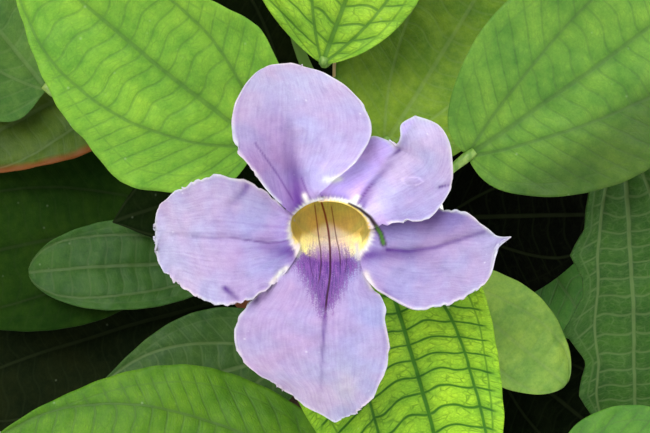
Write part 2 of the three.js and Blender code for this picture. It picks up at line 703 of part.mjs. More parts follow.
function soilBody() {
  const foot = POT_WALL + GAP;
  const rim = potWall(SOIL_TOP) - POT_WALL - 0.5;
  const profile = [
    [0, foot], [potWall(foot) - POT_WALL - 0.5, foot], [rim, SOIL_TOP - 4], [0.72 * rim, SOIL_TOP],
    [0.3 * rim, SOIL_TOP + SOIL_MOUND], [0, SOIL_TOP + SOIL_MOUND],
  ];
  let body = solid(turned(profile, POT_SIDES));
  for (const azimuth of CANE_AZIMUTHS) {
    const holeFoot = SOIL_TOP - CANE_DEPTH - GAP;
    const hole = slantedRod(azimuth, CANE_RADIUS + GAP + 0.1, holeFoot, SOIL_TOP + 20, 8);
    body = body.subtract(solid(hole));
  }
  for (const route of shootRoutes) {
    const inSoil = route.filter((p) => p.z < SOIL_TOP + 20);
    const foot = inSoil[0].clone().sub(inSoil[1]).normalize().add(inSoil[0]);
    body = body.subtract(solid(rod([foot, ...inSoil], () => STEM_RADIUS + 2 * GAP, STEM_SIDES)));
  }
  return body;
}

function tieBody() {
  const lowest = TIE_HEIGHT - (TIE_TURNS * TIE_CORD) / 2;
  const inside = Math.abs(caneAt(0, lowest).x) + CANE_RADIUS + GAP;
  const profile = [[inside, lowest]];
  for (let k = 0; k < TIE_TURNS; k += 1) {
    const low = TIE_HEIGHT + (k - TIE_TURNS / 2) * TIE_CORD;
    profile.push([inside + 0.5 * TIE_CORD, low], [inside + TIE_CORD, low + 0.5 * TIE_CORD]);
  }
  profile.push([inside + 0.5 * TIE_CORD, TIE_HEIGHT + (TIE_TURNS * TIE_CORD) / 2]);
  profile.push([inside, TIE_HEIGHT + (TIE_TURNS * TIE_CORD) / 2], profile[0]);
  return solid(turned(profile, 18));
}

// Shoots: stem, petioles and blades in one body each

function shootBody(index) {
  const parts = [rod(shootRoutes[index], (t) => STEM_RADIUS * (1 - 0.45 * t), STEM_SIDES)];
  const evenRows = Array.from({ length: HERO_ROWS + 1 }, (_, j) => (j / HERO_ROWS) ** 1.25);
  for (const [leaf, from] of shootLeaves[index]) {
    const heroRows = leaf.teeth === 'angled' ? ANGLED_ROWS : evenRows;
    parts.push(leaf.hero ? blade(leaf, heroRows, HERO_COLUMNS) : blade(leaf, ROW_STATIONS, 2));
    parts.push(rod(petiolePoints(leaf, from, 3), () => PETIOLE_RADIUS, 3));
  }
  return fused(parts);
}

const group = new THREE.Group();
function node(name, body, color, roughness) {
  const material = new THREE.MeshStandardMaterial({ color, roughness, metalness: 0 });
  const mesh = new THREE.Mesh(geometryOf(body), material);
  mesh.name = name;
  group.add(mesh);
}

node('pot', potBody(), 0xb5673f, 0.9);
node('soil', soilBody(), 0x3a2a1e, 1);
CANE_AZIMUTHS.forEach((azimuth, k) => {
  const cane = slantedRod(azimuth, CANE_RADIUS, SOIL_TOP - CANE_DEPTH, TIE_HEIGHT + CANE_ABOVE_TIE, 8);
  node(`cane_${k + 1}`, solid(cane), 0xc9a86a, 0.6);
});
node('tie', tieBody(), 0xb99d6b, 0.95);
shootRoutes.forEach((_, index) => node(`shoot_${index + 1}`, shootBody(index), 0x4f8a2e, 0.5));
node('corolla', fused([tube(), ...Object.values(lobes).map(petal)]), 0xc9b6e6, 0.5);
node('flower_stalk', stalkBody(), 0x7fa04a, 0.6);
node('stamens', stamensBody(), 0xe8dca0, 0.6);
node('pistil', pistilBody(), 0xefe9cf, 0.6);

export default group;
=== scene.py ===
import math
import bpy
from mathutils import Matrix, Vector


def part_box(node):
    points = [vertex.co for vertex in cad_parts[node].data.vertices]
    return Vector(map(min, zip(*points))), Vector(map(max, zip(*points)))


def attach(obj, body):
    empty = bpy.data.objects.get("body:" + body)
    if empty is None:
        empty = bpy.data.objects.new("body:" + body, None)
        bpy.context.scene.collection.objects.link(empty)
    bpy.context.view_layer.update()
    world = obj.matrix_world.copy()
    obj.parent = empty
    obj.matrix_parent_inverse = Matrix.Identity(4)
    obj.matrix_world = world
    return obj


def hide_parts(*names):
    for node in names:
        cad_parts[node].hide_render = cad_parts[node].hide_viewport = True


bl_info = {
    "name": "Potted clock vine",
    "version": (1, 0, 0),
    "blender": (4, 5, 0),
    "location": "3D View > Sidebar > Clock Vine",
    "description": "Dresses a potted clock vine: its flower, leaves, stems, canes, soil and pot",
    "category": "Object",
}

import bpy
import numpy as np
from bpy.props import FloatProperty, FloatVectorProperty, IntProperty, PointerProperty
from mathutils import Matrix

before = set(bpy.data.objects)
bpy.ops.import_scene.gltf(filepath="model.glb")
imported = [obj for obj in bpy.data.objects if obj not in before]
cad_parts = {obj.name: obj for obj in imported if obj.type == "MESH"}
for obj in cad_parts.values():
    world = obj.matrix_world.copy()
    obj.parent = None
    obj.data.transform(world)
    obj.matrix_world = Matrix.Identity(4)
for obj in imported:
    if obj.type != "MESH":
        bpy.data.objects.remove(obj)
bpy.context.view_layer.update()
MM = 0.001

# Sizes below are millimetres in the frame, and become metres where a mesh is made.
POT_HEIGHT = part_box("pot")[1].z / MM
POT_FOOT_RADIUS = 62
POT_TOP_RADIUS = 86
POT_WALL = 6
COLLAR_HEIGHT = 28
COLLAR_PROUD = 5
DRAIN_RADIUS = 5
DRAIN_CIRCLE = 30
DRAIN_HOLES = 3
# The wall's throwing rings and extra rows start this far from the pot's axis
RINGS_FROM = 40
SOIL_TOP = 136
SOIL_MOUND = 5
SOIL_EDGE = SOIL_TOP - 4
SOIL_SIDE_GAP = 0.5
SOIL_FOOT_GAP = 0.3
CRUMBS = 900

CANE_RADIUS = 3.5
CANE_FOOT_CIRCLE = 48
CANE_TOP_CIRCLE = 8.5
TIE_HEIGHT = 462
CANE_ABOVE_TIE = 14
CANE_DEPTH = 30
CANE_SIDES = 20
CANE_AZIMUTHS = [270, 0, 90, 180]
TIE_CORD = 2.2
TIE_TURNS = 3
TIE_KNOT_TURN = 4.4
YARN_SIDES = 14
YARN_TWIST = 2.6

STEM_RADIUS = 1.8
STEM_DEPTH = 24
STEM_TURNS = 3
STEM_STEPS = 36
PETIOLE_RADIUS = 0.95

FACE = np.array([-4.0, -112.0, 268.0])
FACE_TILT = math.radians(28)
FACE_RIGHT = np.array([1.0, 0.0, 0.0])
FACE_UP = np.array([0.0, math.sin(FACE_TILT), math.cos(FACE_TILT)])
FACE_OUT = np.array([0.0, -math.cos(FACE_TILT), math.sin(FACE_TILT)])
MOUTH_HALF_WIDTH = 8.7
MOUTH_HALF_HEIGHT = 6.8
MOUTH_DEPTH = -1.2
TUBE_DEPTH = 40
TUBE_SLOPE = 0.56
TUBE_WALL = 0.9
RECEPTACLE_TOP = MOUTH_DEPTH - TUBE_DEPTH - 0.3
STAMEN_FOOT = -37.0
STAMEN_LENGTH = 21.6
STAMEN_RING_RADIUS = 2.5
STAMEN_RING_STEPS = 40
STAMEN_RING_SIDES = 10
PISTIL_LENGTH = 30

# Leaves: what their forms share, and the rule that sets the further ones
TAPER = 1.05
WAVES = 2.3
# Leaves whose tints add up to less than this are painted near black, as shade deep in the plant
DEEP_TINT = 140
LEAVES_A_PIECE = 6
NEAR_COLUMN_SHARE = 0.62
FAR_COLUMN_SHARE = 0.55
PLACE_SEED = 20
TONE_SEED = 7
BLADE_SEED = 3
CRUMB_SEED = 11
PAIR_SPACING = 33
FIRST_PAIR = 172
TRIES = 60
SAMPLE_ACROSS = np.array([-0.9, -0.6, -0.3, 0, 0.3, 0.6, 0.9])
SAMPLE_ROWS = 9
BLADE_ROOM = 3.4
STALK_ROOM = 1.6
GAP_HALF_WIDTH = 88
GAP_LOW = -62
GAP_HIGH = 66
GAP_BACK = -78


# Small sums on points

def unit(vector):
    vector = np.asarray(vector, float)
    return vector / np.linalg.norm(vector, axis=-1, keepdims=True)


def face_direction(point):
    point = np.asarray(point, float)
    return point[..., :1] * FACE_RIGHT + point[..., 1:2] * FACE_UP + point[..., 2:3] * FACE_OUT


def at_face(point):
    """Right, up and forward of the flower's centre, as a point of the frame."""
    return FACE + face_direction(point)


def on_axis(c, a=0.0, b=0.0):
    """A point c forward of the flower's centre, a right and b up of its tube's sloped axis."""
    return at_face(np.stack(np.broadcast_arrays(a, b - TUBE_SLOPE * (c - MOUTH_DEPTH), c), -1))


def spline(knots, steps):
    """Points of a centripetal Catmull-Rom curve at shares (0 to 1) of its spans."""
    knots = np.asarray(knots, float)
    padded = np.vstack([2 * knots[0] - knots[1], knots, 2 * knots[-1] - knots[-2]])
    place = np.clip(np.asarray(steps, float), 0, 1) * (len(knots) - 1)
    span = np.minimum(place.astype(int), len(knots) - 2)
    w = (place - span)[:, None]
    p0, p1, p2, p3 = (padded[span + k] for k in range(4))
    d0, d1, d2 = (np.sqrt(np.linalg.norm(b - a, axis=1, keepdims=True)) for a, b in
                  ((p0, p1), (p1, p2), (p2, p3)))
    d1 = np.where(d1 < 1e-4, 1.0, d1)
    d0 = np.where(d0 < 1e-4, d1, d0)
    d2 = np.where(d2 < 1e-4, d1, d2)
    t1 = ((p1 - p0) / d0 - (p2 - p0) / (d0 + d1) + (p2 - p1) / d1) * d1
    t2 = ((p2 - p1) / d1 - (p3 - p1) / (d1 + d2) + (p3 - p2) / d2) * d1
    return (p1 + t1 * w + (-3 * p1 + 3 * p2 - 2 * t1 - t2) * w ** 2
            + (2 * p1 - 2 * p2 + t1 + t2) * w ** 3)


def smoothstep(low, high, value):
    share = np.clip((value - low) / (high - low), 0, 1)
    return share * share * (3 - 2 * share)


def lengths_along(path):
    """The length from a path's start to each of its points."""
    return np.concatenate([[0], np.cumsum(np.linalg.norm(np.diff(path, axis=0), axis=1))])


def line_distance(points, line):
    """Distance from points to a line of straight stretches, and the share along it."""
    points = np.asarray(points, float)
    line = np.asarray(line, float)
    best = np.full(len(points), 1e9)
    share = np.zeros(len(points))
    spans = len(line) - 1
    for k in range(spans):
        a, along = line[k], line[k + 1] - line[k]
        t = np.clip((points - a) @ along / max(along @ along, 1e-12), 0, 1)
        gap = np.linalg.norm(points - a - t[:, None] * along, axis=1)
        closer = gap < best
        best = np.where(closer, gap, best)
        share = np.where(closer, (k + t) / spans, share)
    return best, share


def inside(points, outline):
    """True where flat points lie inside a closed outline."""
    outline = np.asarray(outline, float)
    hit = np.zeros(len(points), bool)
    for a, b in zip(outline, np.roll(outline, -1, axis=0)):
        crosses = (a[1] > points[:, 1]) != (b[1] > points[:, 1])
        if a[1] != b[1]:
            edge = a[0] + (points[:, 1] - a[1]) * (b[0] - a[0]) / (b[1] - a[1])
            hit ^= crosses & (points[:, 0] < edge)
    return hit


def srgb(red, green, blue):
    """A colour as seen, 0 to 255, in the linear values that a shader takes."""
    seen = np.array([red, green, blue], float) / 255
    return np.where(seen <= 0.04045, seen / 12.92, ((seen + 0.055) / 1.055) ** 2.4)


def toned(base, colour, amount):
    """Colours for points, blended towards another by an amount at each."""
    amount = np.broadcast_to(np.clip(amount, 0, 1), len(base))
    return base + (np.asarray(colour) - base) * amount[:, None]


# Meshes

def make_piece(name, points, faces, look, nodes, marks=None):
    """A smooth piece from points in millimetres, with named values at its points."""
    mesh = bpy.data.meshes.new(name)
    mesh.from_pydata((np.asarray(points) * MM).tolist(), [], faces)
    mesh.shade_smooth()
    for label, values in (marks or {}).items():
        values = np.asarray(values, np.float32)
        if label.endswith("colour"):
            layer = mesh.attributes.new(label, "FLOAT_COLOR", "POINT")
            values = np.hstack([values, np.ones((len(values), 1), np.float32)])
            layer.data.foreach_set("color", values.ravel())
        else:
            layer = mesh.attributes.new(label, "FLOAT_VECTOR", "POINT")
            layer.data.foreach_set("vector", values.ravel())
    mesh.materials.append(look)
    piece = bpy.data.objects.new(name, mesh)
    bpy.context.scene.collection.objects.link(piece)
    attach(piece, "root")
    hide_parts(*nodes)
    return piece


class Body:
    """Points, faces and marks of one piece, gathered part by part."""

    def __init__(self):
        self.points, self.faces, self.marks, self.count = [], [], {}, 0

    def add(self, points, faces, **marks):
        points = np.asarray(points, float).reshape(-1, 3)
        self.points.append(points)
        self.faces.extend([[i + self.count for i in face] for face in faces])
        for label, values in marks.items():
            values = np.broadcast_to(np.asarray(values, float), (len(points), 3))
            self.marks.setdefault(label, []).append(values)
        self.count += len(points)

    def piece(self, name, look, slot, nodes):
        marks = {label: np.vstack(parts) for label, parts in self.marks.items()}
        return make_piece(name, np.vstack(self.points), self.faces, look, nodes, marks)


def grid_faces(rows, columns, start=0, closed=False, flip=False):
    """Faces between rows of points. Closed rows join their ends."""
    faces = []
    for j in range(rows - 1):
        for i in range(columns if closed else columns - 1):
            n = (i + 1) % columns
            here, there = start + j * columns, start + (j + 1) * columns
            face = [here + i, here + n, there + n, there + i]
            faces.append(face[::-1] if flip else face)
    return faces


def grid_normals(grid):
    down = np.gradient(grid, axis=0)
    across = np.gradient(grid, axis=1)
    return unit(np.cross(across, down) + 1e-12)


def leaf_like(grid, back):
    """A thin closed sheet: the grid, a back behind it and a rim between them."""
    rows, columns = grid.shape[:2]
    points = np.vstack([grid.reshape(-1, 3), back.reshape(-1, 3)])
    count = rows * columns
    faces = grid_faces(rows, columns) + grid_faces(rows, columns, count, flip=True)
    edge = list(range(columns)) + [j * columns + columns - 1 for j in range(1, rows)]
    edge += [(rows - 1) * columns + i for i in range(columns - 2, -1, -1)]
    edge += [j * columns for j in range(rows - 2, 0, -1)]
    for a, b in zip(edge, edge[1:] + edge[:1]):
        faces.append([b, a, a + count, b + count])
    return points, faces


def sweep(path, radii, sides):
    """A closed round stem along a path, with its radius given at each point."""
    path = np.asarray(path, float)
    tangents = unit(np.gradient(path, axis=0))
    side = unit(np.cross(tangents[0], [0.31, 0.17, 0.93]))
    rings = []
    turns = 2 * math.pi * np.arange(sides) / sides
    for point, tangent, radius in zip(path, tangents, np.broadcast_to(radii, len(path))):
        side = unit(side - tangent * (side @ tangent))
        other = np.cross(tangent, side)
        rings.append(point + radius * (np.cos(turns)[:, None] * side + np.sin(turns)[:, None] * other))
    faces = grid_faces(len(path), sides, closed=True)
    faces.append(list(range(sides))[::-1])
    faces.append([(len(path) - 1) * sides + k for k in range(sides)])
    return np.vstack(rings), faces


def turned(profile, sides):
    """A round body from radius and height pairs that start and end on the axis."""
    profile = np.asarray(profile, float)
    turns = 2 * math.pi * np.arange(sides) / sides
    inner = profile[1:-1]
    rings = [np.stack([radius * np.cos(turns), radius * np.sin(turns), np.full(sides, z)], 1)
             for radius, z in inner]
    points = np.vstack(rings + [[[0, 0, profile[0][1]]], [[0, 0, profile[-1][1]]]])
    faces = grid_faces(len(inner), sides, closed=True)
    first, last, top = len(points) - 2, len(points) - 1, (len(inner) - 1) * sides
    for k in range(sides):
        n = (k + 1) % sides
        faces.append([first, n, k])
        faces.append([last, top + k, top + n])
    return points, faces


# Shader recipes

class Value:
    """A value inside a recipe. Sums on it become the recipe's nodes."""

    def __init__(self, recipe, socket):
        self.recipe, self.socket = recipe, socket

    def __add__(self, other):
        return self.recipe.calc("ADD", self, other)

    def __sub__(self, other):
        return self.recipe.calc("SUBTRACT", self, other)

    def __rsub__(self, other):
        return self.recipe.calc("SUBTRACT", other, self)

    def __mul__(self, other):
        return self.recipe.calc("MULTIPLY", self, other)

    def __truediv__(self, other):
        return self.recipe.calc("DIVIDE", self, other)

    def __pow__(self, other):
        return self.recipe.calc("POWER", self, other)

    def __abs__(self):
        return self.recipe.calc("ABSOLUTE", self)


class Recipe:
    """A material's nodes, written as sums."""

    def __init__(self, name):
        self.material = bpy.data.materials.new(name)
        self.material.use_nodes = True
        self.tree = self.material.node_tree
        self.tree.nodes.clear()

    def node(self, kind, **settings):
        made = self.tree.nodes.new(kind)
        for key, value in settings.items():
            setattr(made, key, value)
        return made

    def take(self, made, output=0):
        return Value(self, made.outputs[output])

    def feed(self, socket, value):
        if isinstance(value, Value):
            self.tree.links.new(value.socket, socket)
        elif hasattr(socket.default_value, "__len__") and len(value) < len(socket.default_value):
            socket.default_value = [*value, 1.0]
        else:
            socket.default_value = value

    def fill(self, made, **sockets):
        for label, value in sockets.items():
            self.feed(made.inputs[label.replace("_", " ")], value)
        return made

    def calc(self, operation, *values):
        made = self.node("ShaderNodeMath", operation=operation)
        for socket, value in zip(made.inputs, values):
            self.feed(socket, value)
        return self.take(made)

    def ease(self, value, low, high):
        """0 below low and 1 above high, smooth between them."""
        made = self.node("ShaderNodeMapRange", interpolation_type="SMOOTHSTEP")
        return self.take(self.fill(made, Value=value, From_Min=low, From_Max=high), "Result")

    def line(self, distance, half_width, soft):
        """1 within half_width of a line and 0 beyond its soft border."""
        outer = self.calc("ADD", half_width, soft)
        return 1.0 - self.ease(distance, half_width, outer)

    def most(self, first, second):
        """The larger of two values."""
        return self.calc("MAXIMUM", first, second)

    def mix(self, amount, first, second, blend="MIX"):
        made = self.node("ShaderNodeMix", data_type="RGBA", blend_type=blend)
        self.feed(made.inputs[0], amount)
        self.feed(made.inputs[6], first)
        self.feed(made.inputs[7], second)
        return self.take(made, 2)

    def tinted(self, first, second):
        """Two colours multiplied."""
        return self.mix(1.0, first, second, "MULTIPLY")

    def mark(self, name, output="Vector"):
        return self.take(self.node("ShaderNodeAttribute", attribute_name=name), output)

    def parts(self, vector):
        made = self.node("ShaderNodeSeparateXYZ")
        self.feed(made.inputs[0], vector)
        return self.take(made, 0), self.take(made, 1), self.take(made, 2)

    def place(self, x, y, z):
        return self.take(self.fill(self.node("ShaderNodeCombineXYZ"), X=x, Y=y, Z=z))

    def object_place(self, scale=(1, 1, 1)):
        made = self.node("ShaderNodeMapping")
        spot = self.take(self.node("ShaderNodeTexCoord"), "Object")
        return self.take(self.fill(made, Vector=spot, Scale=scale))

    def noise(self, vector, scale, detail=2.0, rough=0.5):
        made = self.node("ShaderNodeTexNoise")
        return self.take(self.fill(made, Vector=vector, Scale=scale, Detail=detail, Roughness=rough), "Fac")

    def cells(self, vector, scale, feature="DISTANCE_TO_EDGE"):
        made = self.node("ShaderNodeTexVoronoi", feature=feature)
        return self.take(self.fill(made, Vector=vector, Scale=scale), "Distance")

    def bump(self, height, distance, strength=1.0, **normal):
        made = self.node("ShaderNodeBump")
        return self.take(self.fill(made, Height=height, Distance=distance, Strength=strength, **normal))

    def finish(self, colour, normal=None, glow=0.0, **sockets):
        """A principled surface, with some light let through where glow is above 0."""
        shader = self.fill(self.node("ShaderNodeBsdfPrincipled"), Base_Color=colour, **sockets)
        if normal is not None:
            self.fill(shader, Normal=normal)
        surface = shader.outputs[0]
        if glow:
            through = self.fill(self.node("ShaderNodeBsdfTranslucent"), Color=colour)
            both = self.node("ShaderNodeMixShader")
            both.inputs[0].default_value = glow
            self.tree.links.new(surface, both.inputs[1])
            self.tree.links.new(through.outputs[0], both.inputs[2])
            surface = both.outputs[0]
        out = self.node("ShaderNodeOutputMaterial")
        self.tree.links.new(surface, out.inputs["Surface"])
        return self.material


# Leaf blade: u runs from one edge to the other, v from the petiole to the tip

# Teeth along an edge: where they stand, how tall and how wide they are, in shares of the blade
TEETH = {
    "smooth": [],
    "corner": [(0.25, 0.1, 0.16)],
    "lobed": [(0.15, 0.1, 0.12), (0.33, 0.12, 0.1), (0.51, 0.22, 0.14)],
    "angled": [(0.31, 0.24, 0.07), (0.53, 0.4, 0.1), (0.74, 0.22, 0.09)],
}


def make_leaf(base, tip, facing, width, **form):
    """What sets a blade: its ends, the way it faces, its width and its form."""
    base, tip, facing = (np.asarray(p, float) for p in (base, tip, facing))
    y = unit(tip - base)
    z = unit(facing - y * (facing @ y))
    leaf = dict(arch=0.06, fold=8, heart=0.06, round=0.5, taper=TAPER, lean=0, teeth="smooth",
                wave=0.01, phase=0, rib_spread=0.7, rib_reach=0.85, rusty=0, painted_shade_side=0)
    leaf.update(form)
    leaf.update(base=base, tip=tip, width=width, x=np.cross(y, z), y=y, z=z,
                length=float(np.linalg.norm(tip - base)))
    return leaf


def half_width(leaf, v):
    """The blade's half width at v, without its teeth, as a share of the widest."""
    peak = leaf["round"] / (leaf["round"] + leaf["taper"])
    v = np.clip(v, 1e-9, 1 - 1e-9)
    return (v / peak) ** leaf["round"] * ((1 - v) / (1 - peak)) ** leaf["taper"]


def blade_across(leaf, u, v):
    """How far right of the midrib a point of the blade lies."""
    half = half_width(leaf, v) + np.zeros_like(u)
    for at, tall, wide in TEETH[leaf["teeth"]]:
        half = half + tall * np.maximum(0, 1 - np.abs(v - at) / wide) * np.abs(u) ** 4
    half = np.where((v <= 0) | (v >= 1), 0, half)
    return u * half * leaf["width"] * (1 + np.sign(u) * leaf["lean"]) / 2


def blade_point(leaf, u, v):
    """Points of the arched, folded and waved blade."""
    u, v = np.broadcast_arrays(np.asarray(u, float), np.asarray(v, float))
    across = blade_across(leaf, u, v)
    hook = leaf["heart"] * np.abs(u) ** 1.5 * (v / 0.05) * np.exp(1 - v / 0.05)
    ripple = np.sin(2 * math.pi * WAVES * v + leaf["phase"] + np.where(u > 0, 1.3, 0))
    rise = leaf["arch"] * 4 * v * (1 - v) * leaf["length"]
    rise = rise + math.tan(math.radians(leaf["fold"])) * np.abs(across)
    rise = rise + leaf["wave"] * leaf["length"] * np.abs(u) ** 3 * ripple * np.minimum(1, 4 * v)
    along = (v - hook) * leaf["length"]
    return (leaf["base"] + across[..., None] * leaf["x"] + along[..., None] * leaf["y"]
            + rise[..., None] * leaf["z"])


def cane_at(azimuth, z):
    """The middle of a cane at a height."""
    turn = math.radians(azimuth)
    share = (z - SOIL_TOP) / (TIE_HEIGHT - SOIL_TOP)
    circle = CANE_FOOT_CIRCLE * (1 + share * (CANE_TOP_CIRCLE / CANE_FOOT_CIRCLE - 1))
    return np.array([circle * math.cos(turn), circle * math.sin(turn), z])


def away_from_cane(point):
    """The direction from the nearest cane to a point."""
    spots = [cane_at(azimuth, point[2]) for azimuth in CANE_AZIMUTHS]
    return unit(point - min(spots, key=lambda spot: np.linalg.norm(spot - point)))


def petiole_points(leaf, start, steps, thickness=0.7):
    """A curve from the shoot to the middle of the blade's thickness at its base."""
    reach = np.linalg.norm(leaf["base"] - start)
    first = start + away_from_cane(start) * 0.35 * reach
    last = blade_point(leaf, 0, 0.03) - leaf["z"] * thickness / 2
    before = leaf["base"] - leaf["y"] * 0.22 * reach
    t = np.linspace(0, 1, steps + 1)[:, None]
    return ((1 - t) ** 3 * start + 3 * (1 - t) ** 2 * t * first
            + 3 * (1 - t) * t ** 2 * before + t ** 3 * last)


# Routes of the shoots

def twining_route(azimuth, top, start_turn, steps=STEM_STEPS):
    """A stem's route from the soil up and round one cane."""
    points = []
    for share in np.arange(steps + 1) / steps:
        z = SOIL_TOP - STEM_DEPTH + share * (top - SOIL_TOP + STEM_DEPTH)
        climb = max(0, (z - SOIL_TOP - 6) / (top - SOIL_TOP - 6))
        stand = CANE_RADIUS + STEM_RADIUS + 0.5 + 8 * math.exp(-12 * climb)
        turn = math.radians(azimuth + start_turn) + 2 * math.pi * STEM_TURNS * climb
        points.append(cane_at(azimuth, z) + [stand * math.cos(turn), stand * math.sin(turn), 0])
    return np.array(points)


# The shoot that bears the flower
FLOWERING_KNOTS = [
    (1, -62, 112), (1, -64, 136), (4, -70, 162), (-2, -74, 188), (3, -70, 212), (-2, -58, 238),
    (5, -45, 264), (1, -40, 288), (-7, -37, 314), (-6, -35, 342), (4, -32, 370), (-2, -27, 398),
]
# The other shoots: the cane each twines round, the height of its top and the turn it starts at
TWINERS = [(0, 440, -60), (90, 452, 40), (180, 446, 120)]


def shoot_routes(steps=STEM_STEPS):
    flowering = spline(FLOWERING_KNOTS, np.linspace(0, 1, steps + 1))
    return [flowering] + [twining_route(*given, steps=steps) for given in TWINERS]


def point_at_height(route, z):
    return route[np.argmin(np.abs(route[:, 2] - z))]


# Leaves round the flower, right, up and forward of its centre: petiole end, tip, facing, width,
# shoot, height where the petiole leaves the shoot, tint, how much the veins show, how dark they
# are beside the tint, and form
FLOWER_LEAVES = [
    ((-17, 21, -34), (-79, 73, -18), (-0.35, -0.1, 1), 48, 0, 240, (126, 180, 56), 0.5, 0.7,
     dict(lean=-0.08, teeth="corner", heart=0.04, rib_spread=0.9, rib_reach=0.95)),
    ((-2, 41, -36), (20, 100, -26), (0, -0.1, 1), 45, 0, 292, (164, 214, 62), 0.9, 0.8,
     dict(round=0.8, heart=0, fold=10, lean=-0.25, wave=0.02)),
    # The third leaf is painted darker towards one edge, as shade
    ((33, 18, -30), (100, 67, -20), (0.1, -0.1, 1), 52.5, 0, 238, (108, 156, 56), 0.45, 0.7,
     dict(fold=5, heart=0.03, round=0.65, taper=0.95, lean=0.03, rib_spread=0.45, rib_reach=1, painted_shade_side=0.6)),
    ((13, -8, -32), (35, -88, -36), (0.1, 0.3, 1), 52, 0, 225, (152, 202, 44), 1.0, 1.0,
     dict(fold=5, round=0.3, taper=1, lean=0.18, wave=0.02, rib_spread=1.6, rib_reach=0.54)),
    ((-3, -62.5, -44), (-91, -58.5, -38), (0, 0.35, 1), 52, 0, 188, (88, 136, 24), 0.6, 0.7,
     dict(heart=0.05, round=0.55, taper=0.9)),
    ((74.2, 21, -50), (79, -62, -62), (0.1, 0, 1), 27, 1, 262, (42, 84, 18), 0.5, 0.3,
     dict(teeth="angled", fold=5, round=0.45, taper=0.45)),
    ((29, -14, -62), (61, -40, -58), (0.1, 0.1, 1), 26, 0, 212, (150, 190, 82), 0.35, 0.1,
     dict(taper=0.6, fold=4, heart=0.03)),
    ((58, -62.5, -46), (112, -74, -40), (0.1, 0.4, 1), 44, 0, 188, (84, 136, 44), 0.6, 0.7,
     dict(heart=0.05)),
    ((14, 22, -54), (46, 74, -66), (0.1, 0, 1), 44, 0, 264, (122, 158, 42), 0.4, 0.1,
     dict(heart=0.05, lean=-0.1)),
    ((-75, 37, -72), (-112, 84, -62), (0, 0.1, 1), 44, 3, 262, (84, 126, 52), 0.4, 0.3,
     dict(teeth="corner")),
    ((-54, 46, -86), (-108, 15, -80), (0, 0.2, 1), 36, 3, 250, (72, 96, 20), 0.3, 0.5,
     dict(rusty=1)),
    ((-28, -9, -84), (-82, -11.6, -82), (0, 0.2, 1), 25, 3, 222, (52, 92, 30), 0.3, 0.5,
     dict(round=0.6, taper=0.6)),
    ((-12, -33, -70), (-68, -50, -66), (0, 0.2, 1), 34, 0, 212, (56, 90, 34), 0.3, 0.3, {}),
    # The leaves below have tints painted near black, as the shade deep in the plant, with dark veins
    ((31, 3, -82), (78, 4, -78), (0, 0.1, 1), 46, 0, 246, (5, 7, 3), 0.2, 0.85, {}),
    ((-12, 34, -62), (-44, 70, -66), (0, 0.1, 1), 42, 0, 280, (20, 28, 8), 0.2, 0.85, {}),
    ((-28, -20, -112), (-112, -46, -107), (0, 0.3, 1), 54, 3, 204, (22, 30, 12), 0.2, 0.85,
     dict(taper=0.6)),
    ((-6, 17, -76), (-58, 2, -72), (0, 0.2, 1), 40, 0, 262, (18, 32, 8), 0.2, 0.85, {}),
    ((6, 40, -84), (-6, 78, -92), (0, 0.1, 1), 34, 2, 250, (16, 26, 8), 0.2, 0.85, {}),
    ((46, -34, -108), (84, -64, -92), (0, 0.2, 1), 42, 1, 200, (12, 20, 6), 0.2, 0.85, {}),
    ((-42, 4, -98), (-116, -12, -92), (0, 0.2, 1), 52, 3, 236, (34, 60, 14), 0.2, 0.85,
     dict(taper=0.6)),
]


class Draw:
    """Seeded numbers, the same each run."""

    FACTOR = 1664525
    STEP = 1013904223
    SPAN = 2 ** 32

    def __init__(self, seed):
        self.state = seed

    def between(self, low, high):
        self.state = (self.state * self.FACTOR + self.STEP) % self.SPAN
        return low + (high - low) * self.state / self.SPAN


class Room:
    """Places that are taken, each with the room round it."""

    def __init__(self):
        self.places, self.rooms = np.zeros((0, 3)), np.zeros(0)

    def take(self, points, room):
        points = np.asarray(points, float).reshape(-1, 3)
        self.places = np.vstack([self.places, points])
        self.rooms = np.concatenate([self.rooms, np.full(len(points), float(room))])

    def clear(self, points, room):
        """True where points stay over the pot and out of all rooms, tried with a few of them first."""
        if points[:, 2].min() <= POT_HEIGHT + 2 + room:
            return False
        for part in (points[::9], points):
            gap = ((part[:, None, :] - self.places[None]) ** 2).sum(2)
            if not (gap > (room + self.rooms) ** 2).all():
                return False
        return True


def blade_samples(leaf):
    """Points spread over a blade, that stand for it where room is sought."""
    rows = 0.06 + 0.11 * np.arange(SAMPLE_ROWS)
    return blade_point(leaf, SAMPLE_ACROSS[None, :], rows[:, None]).reshape(-1, 3)


def outside_gap(points):
    """True where no point is in the gap that the flower looks out of."""
    across, above, forward = ((points - FACE) @ axis for axis in (FACE_RIGHT, FACE_UP, FACE_OUT))
    outside = ((np.abs(across) > GAP_HALF_WIDTH) | (above < GAP_LOW) | (above > GAP_HIGH)
               | (forward < GAP_BACK))
    return bool(outside.all())


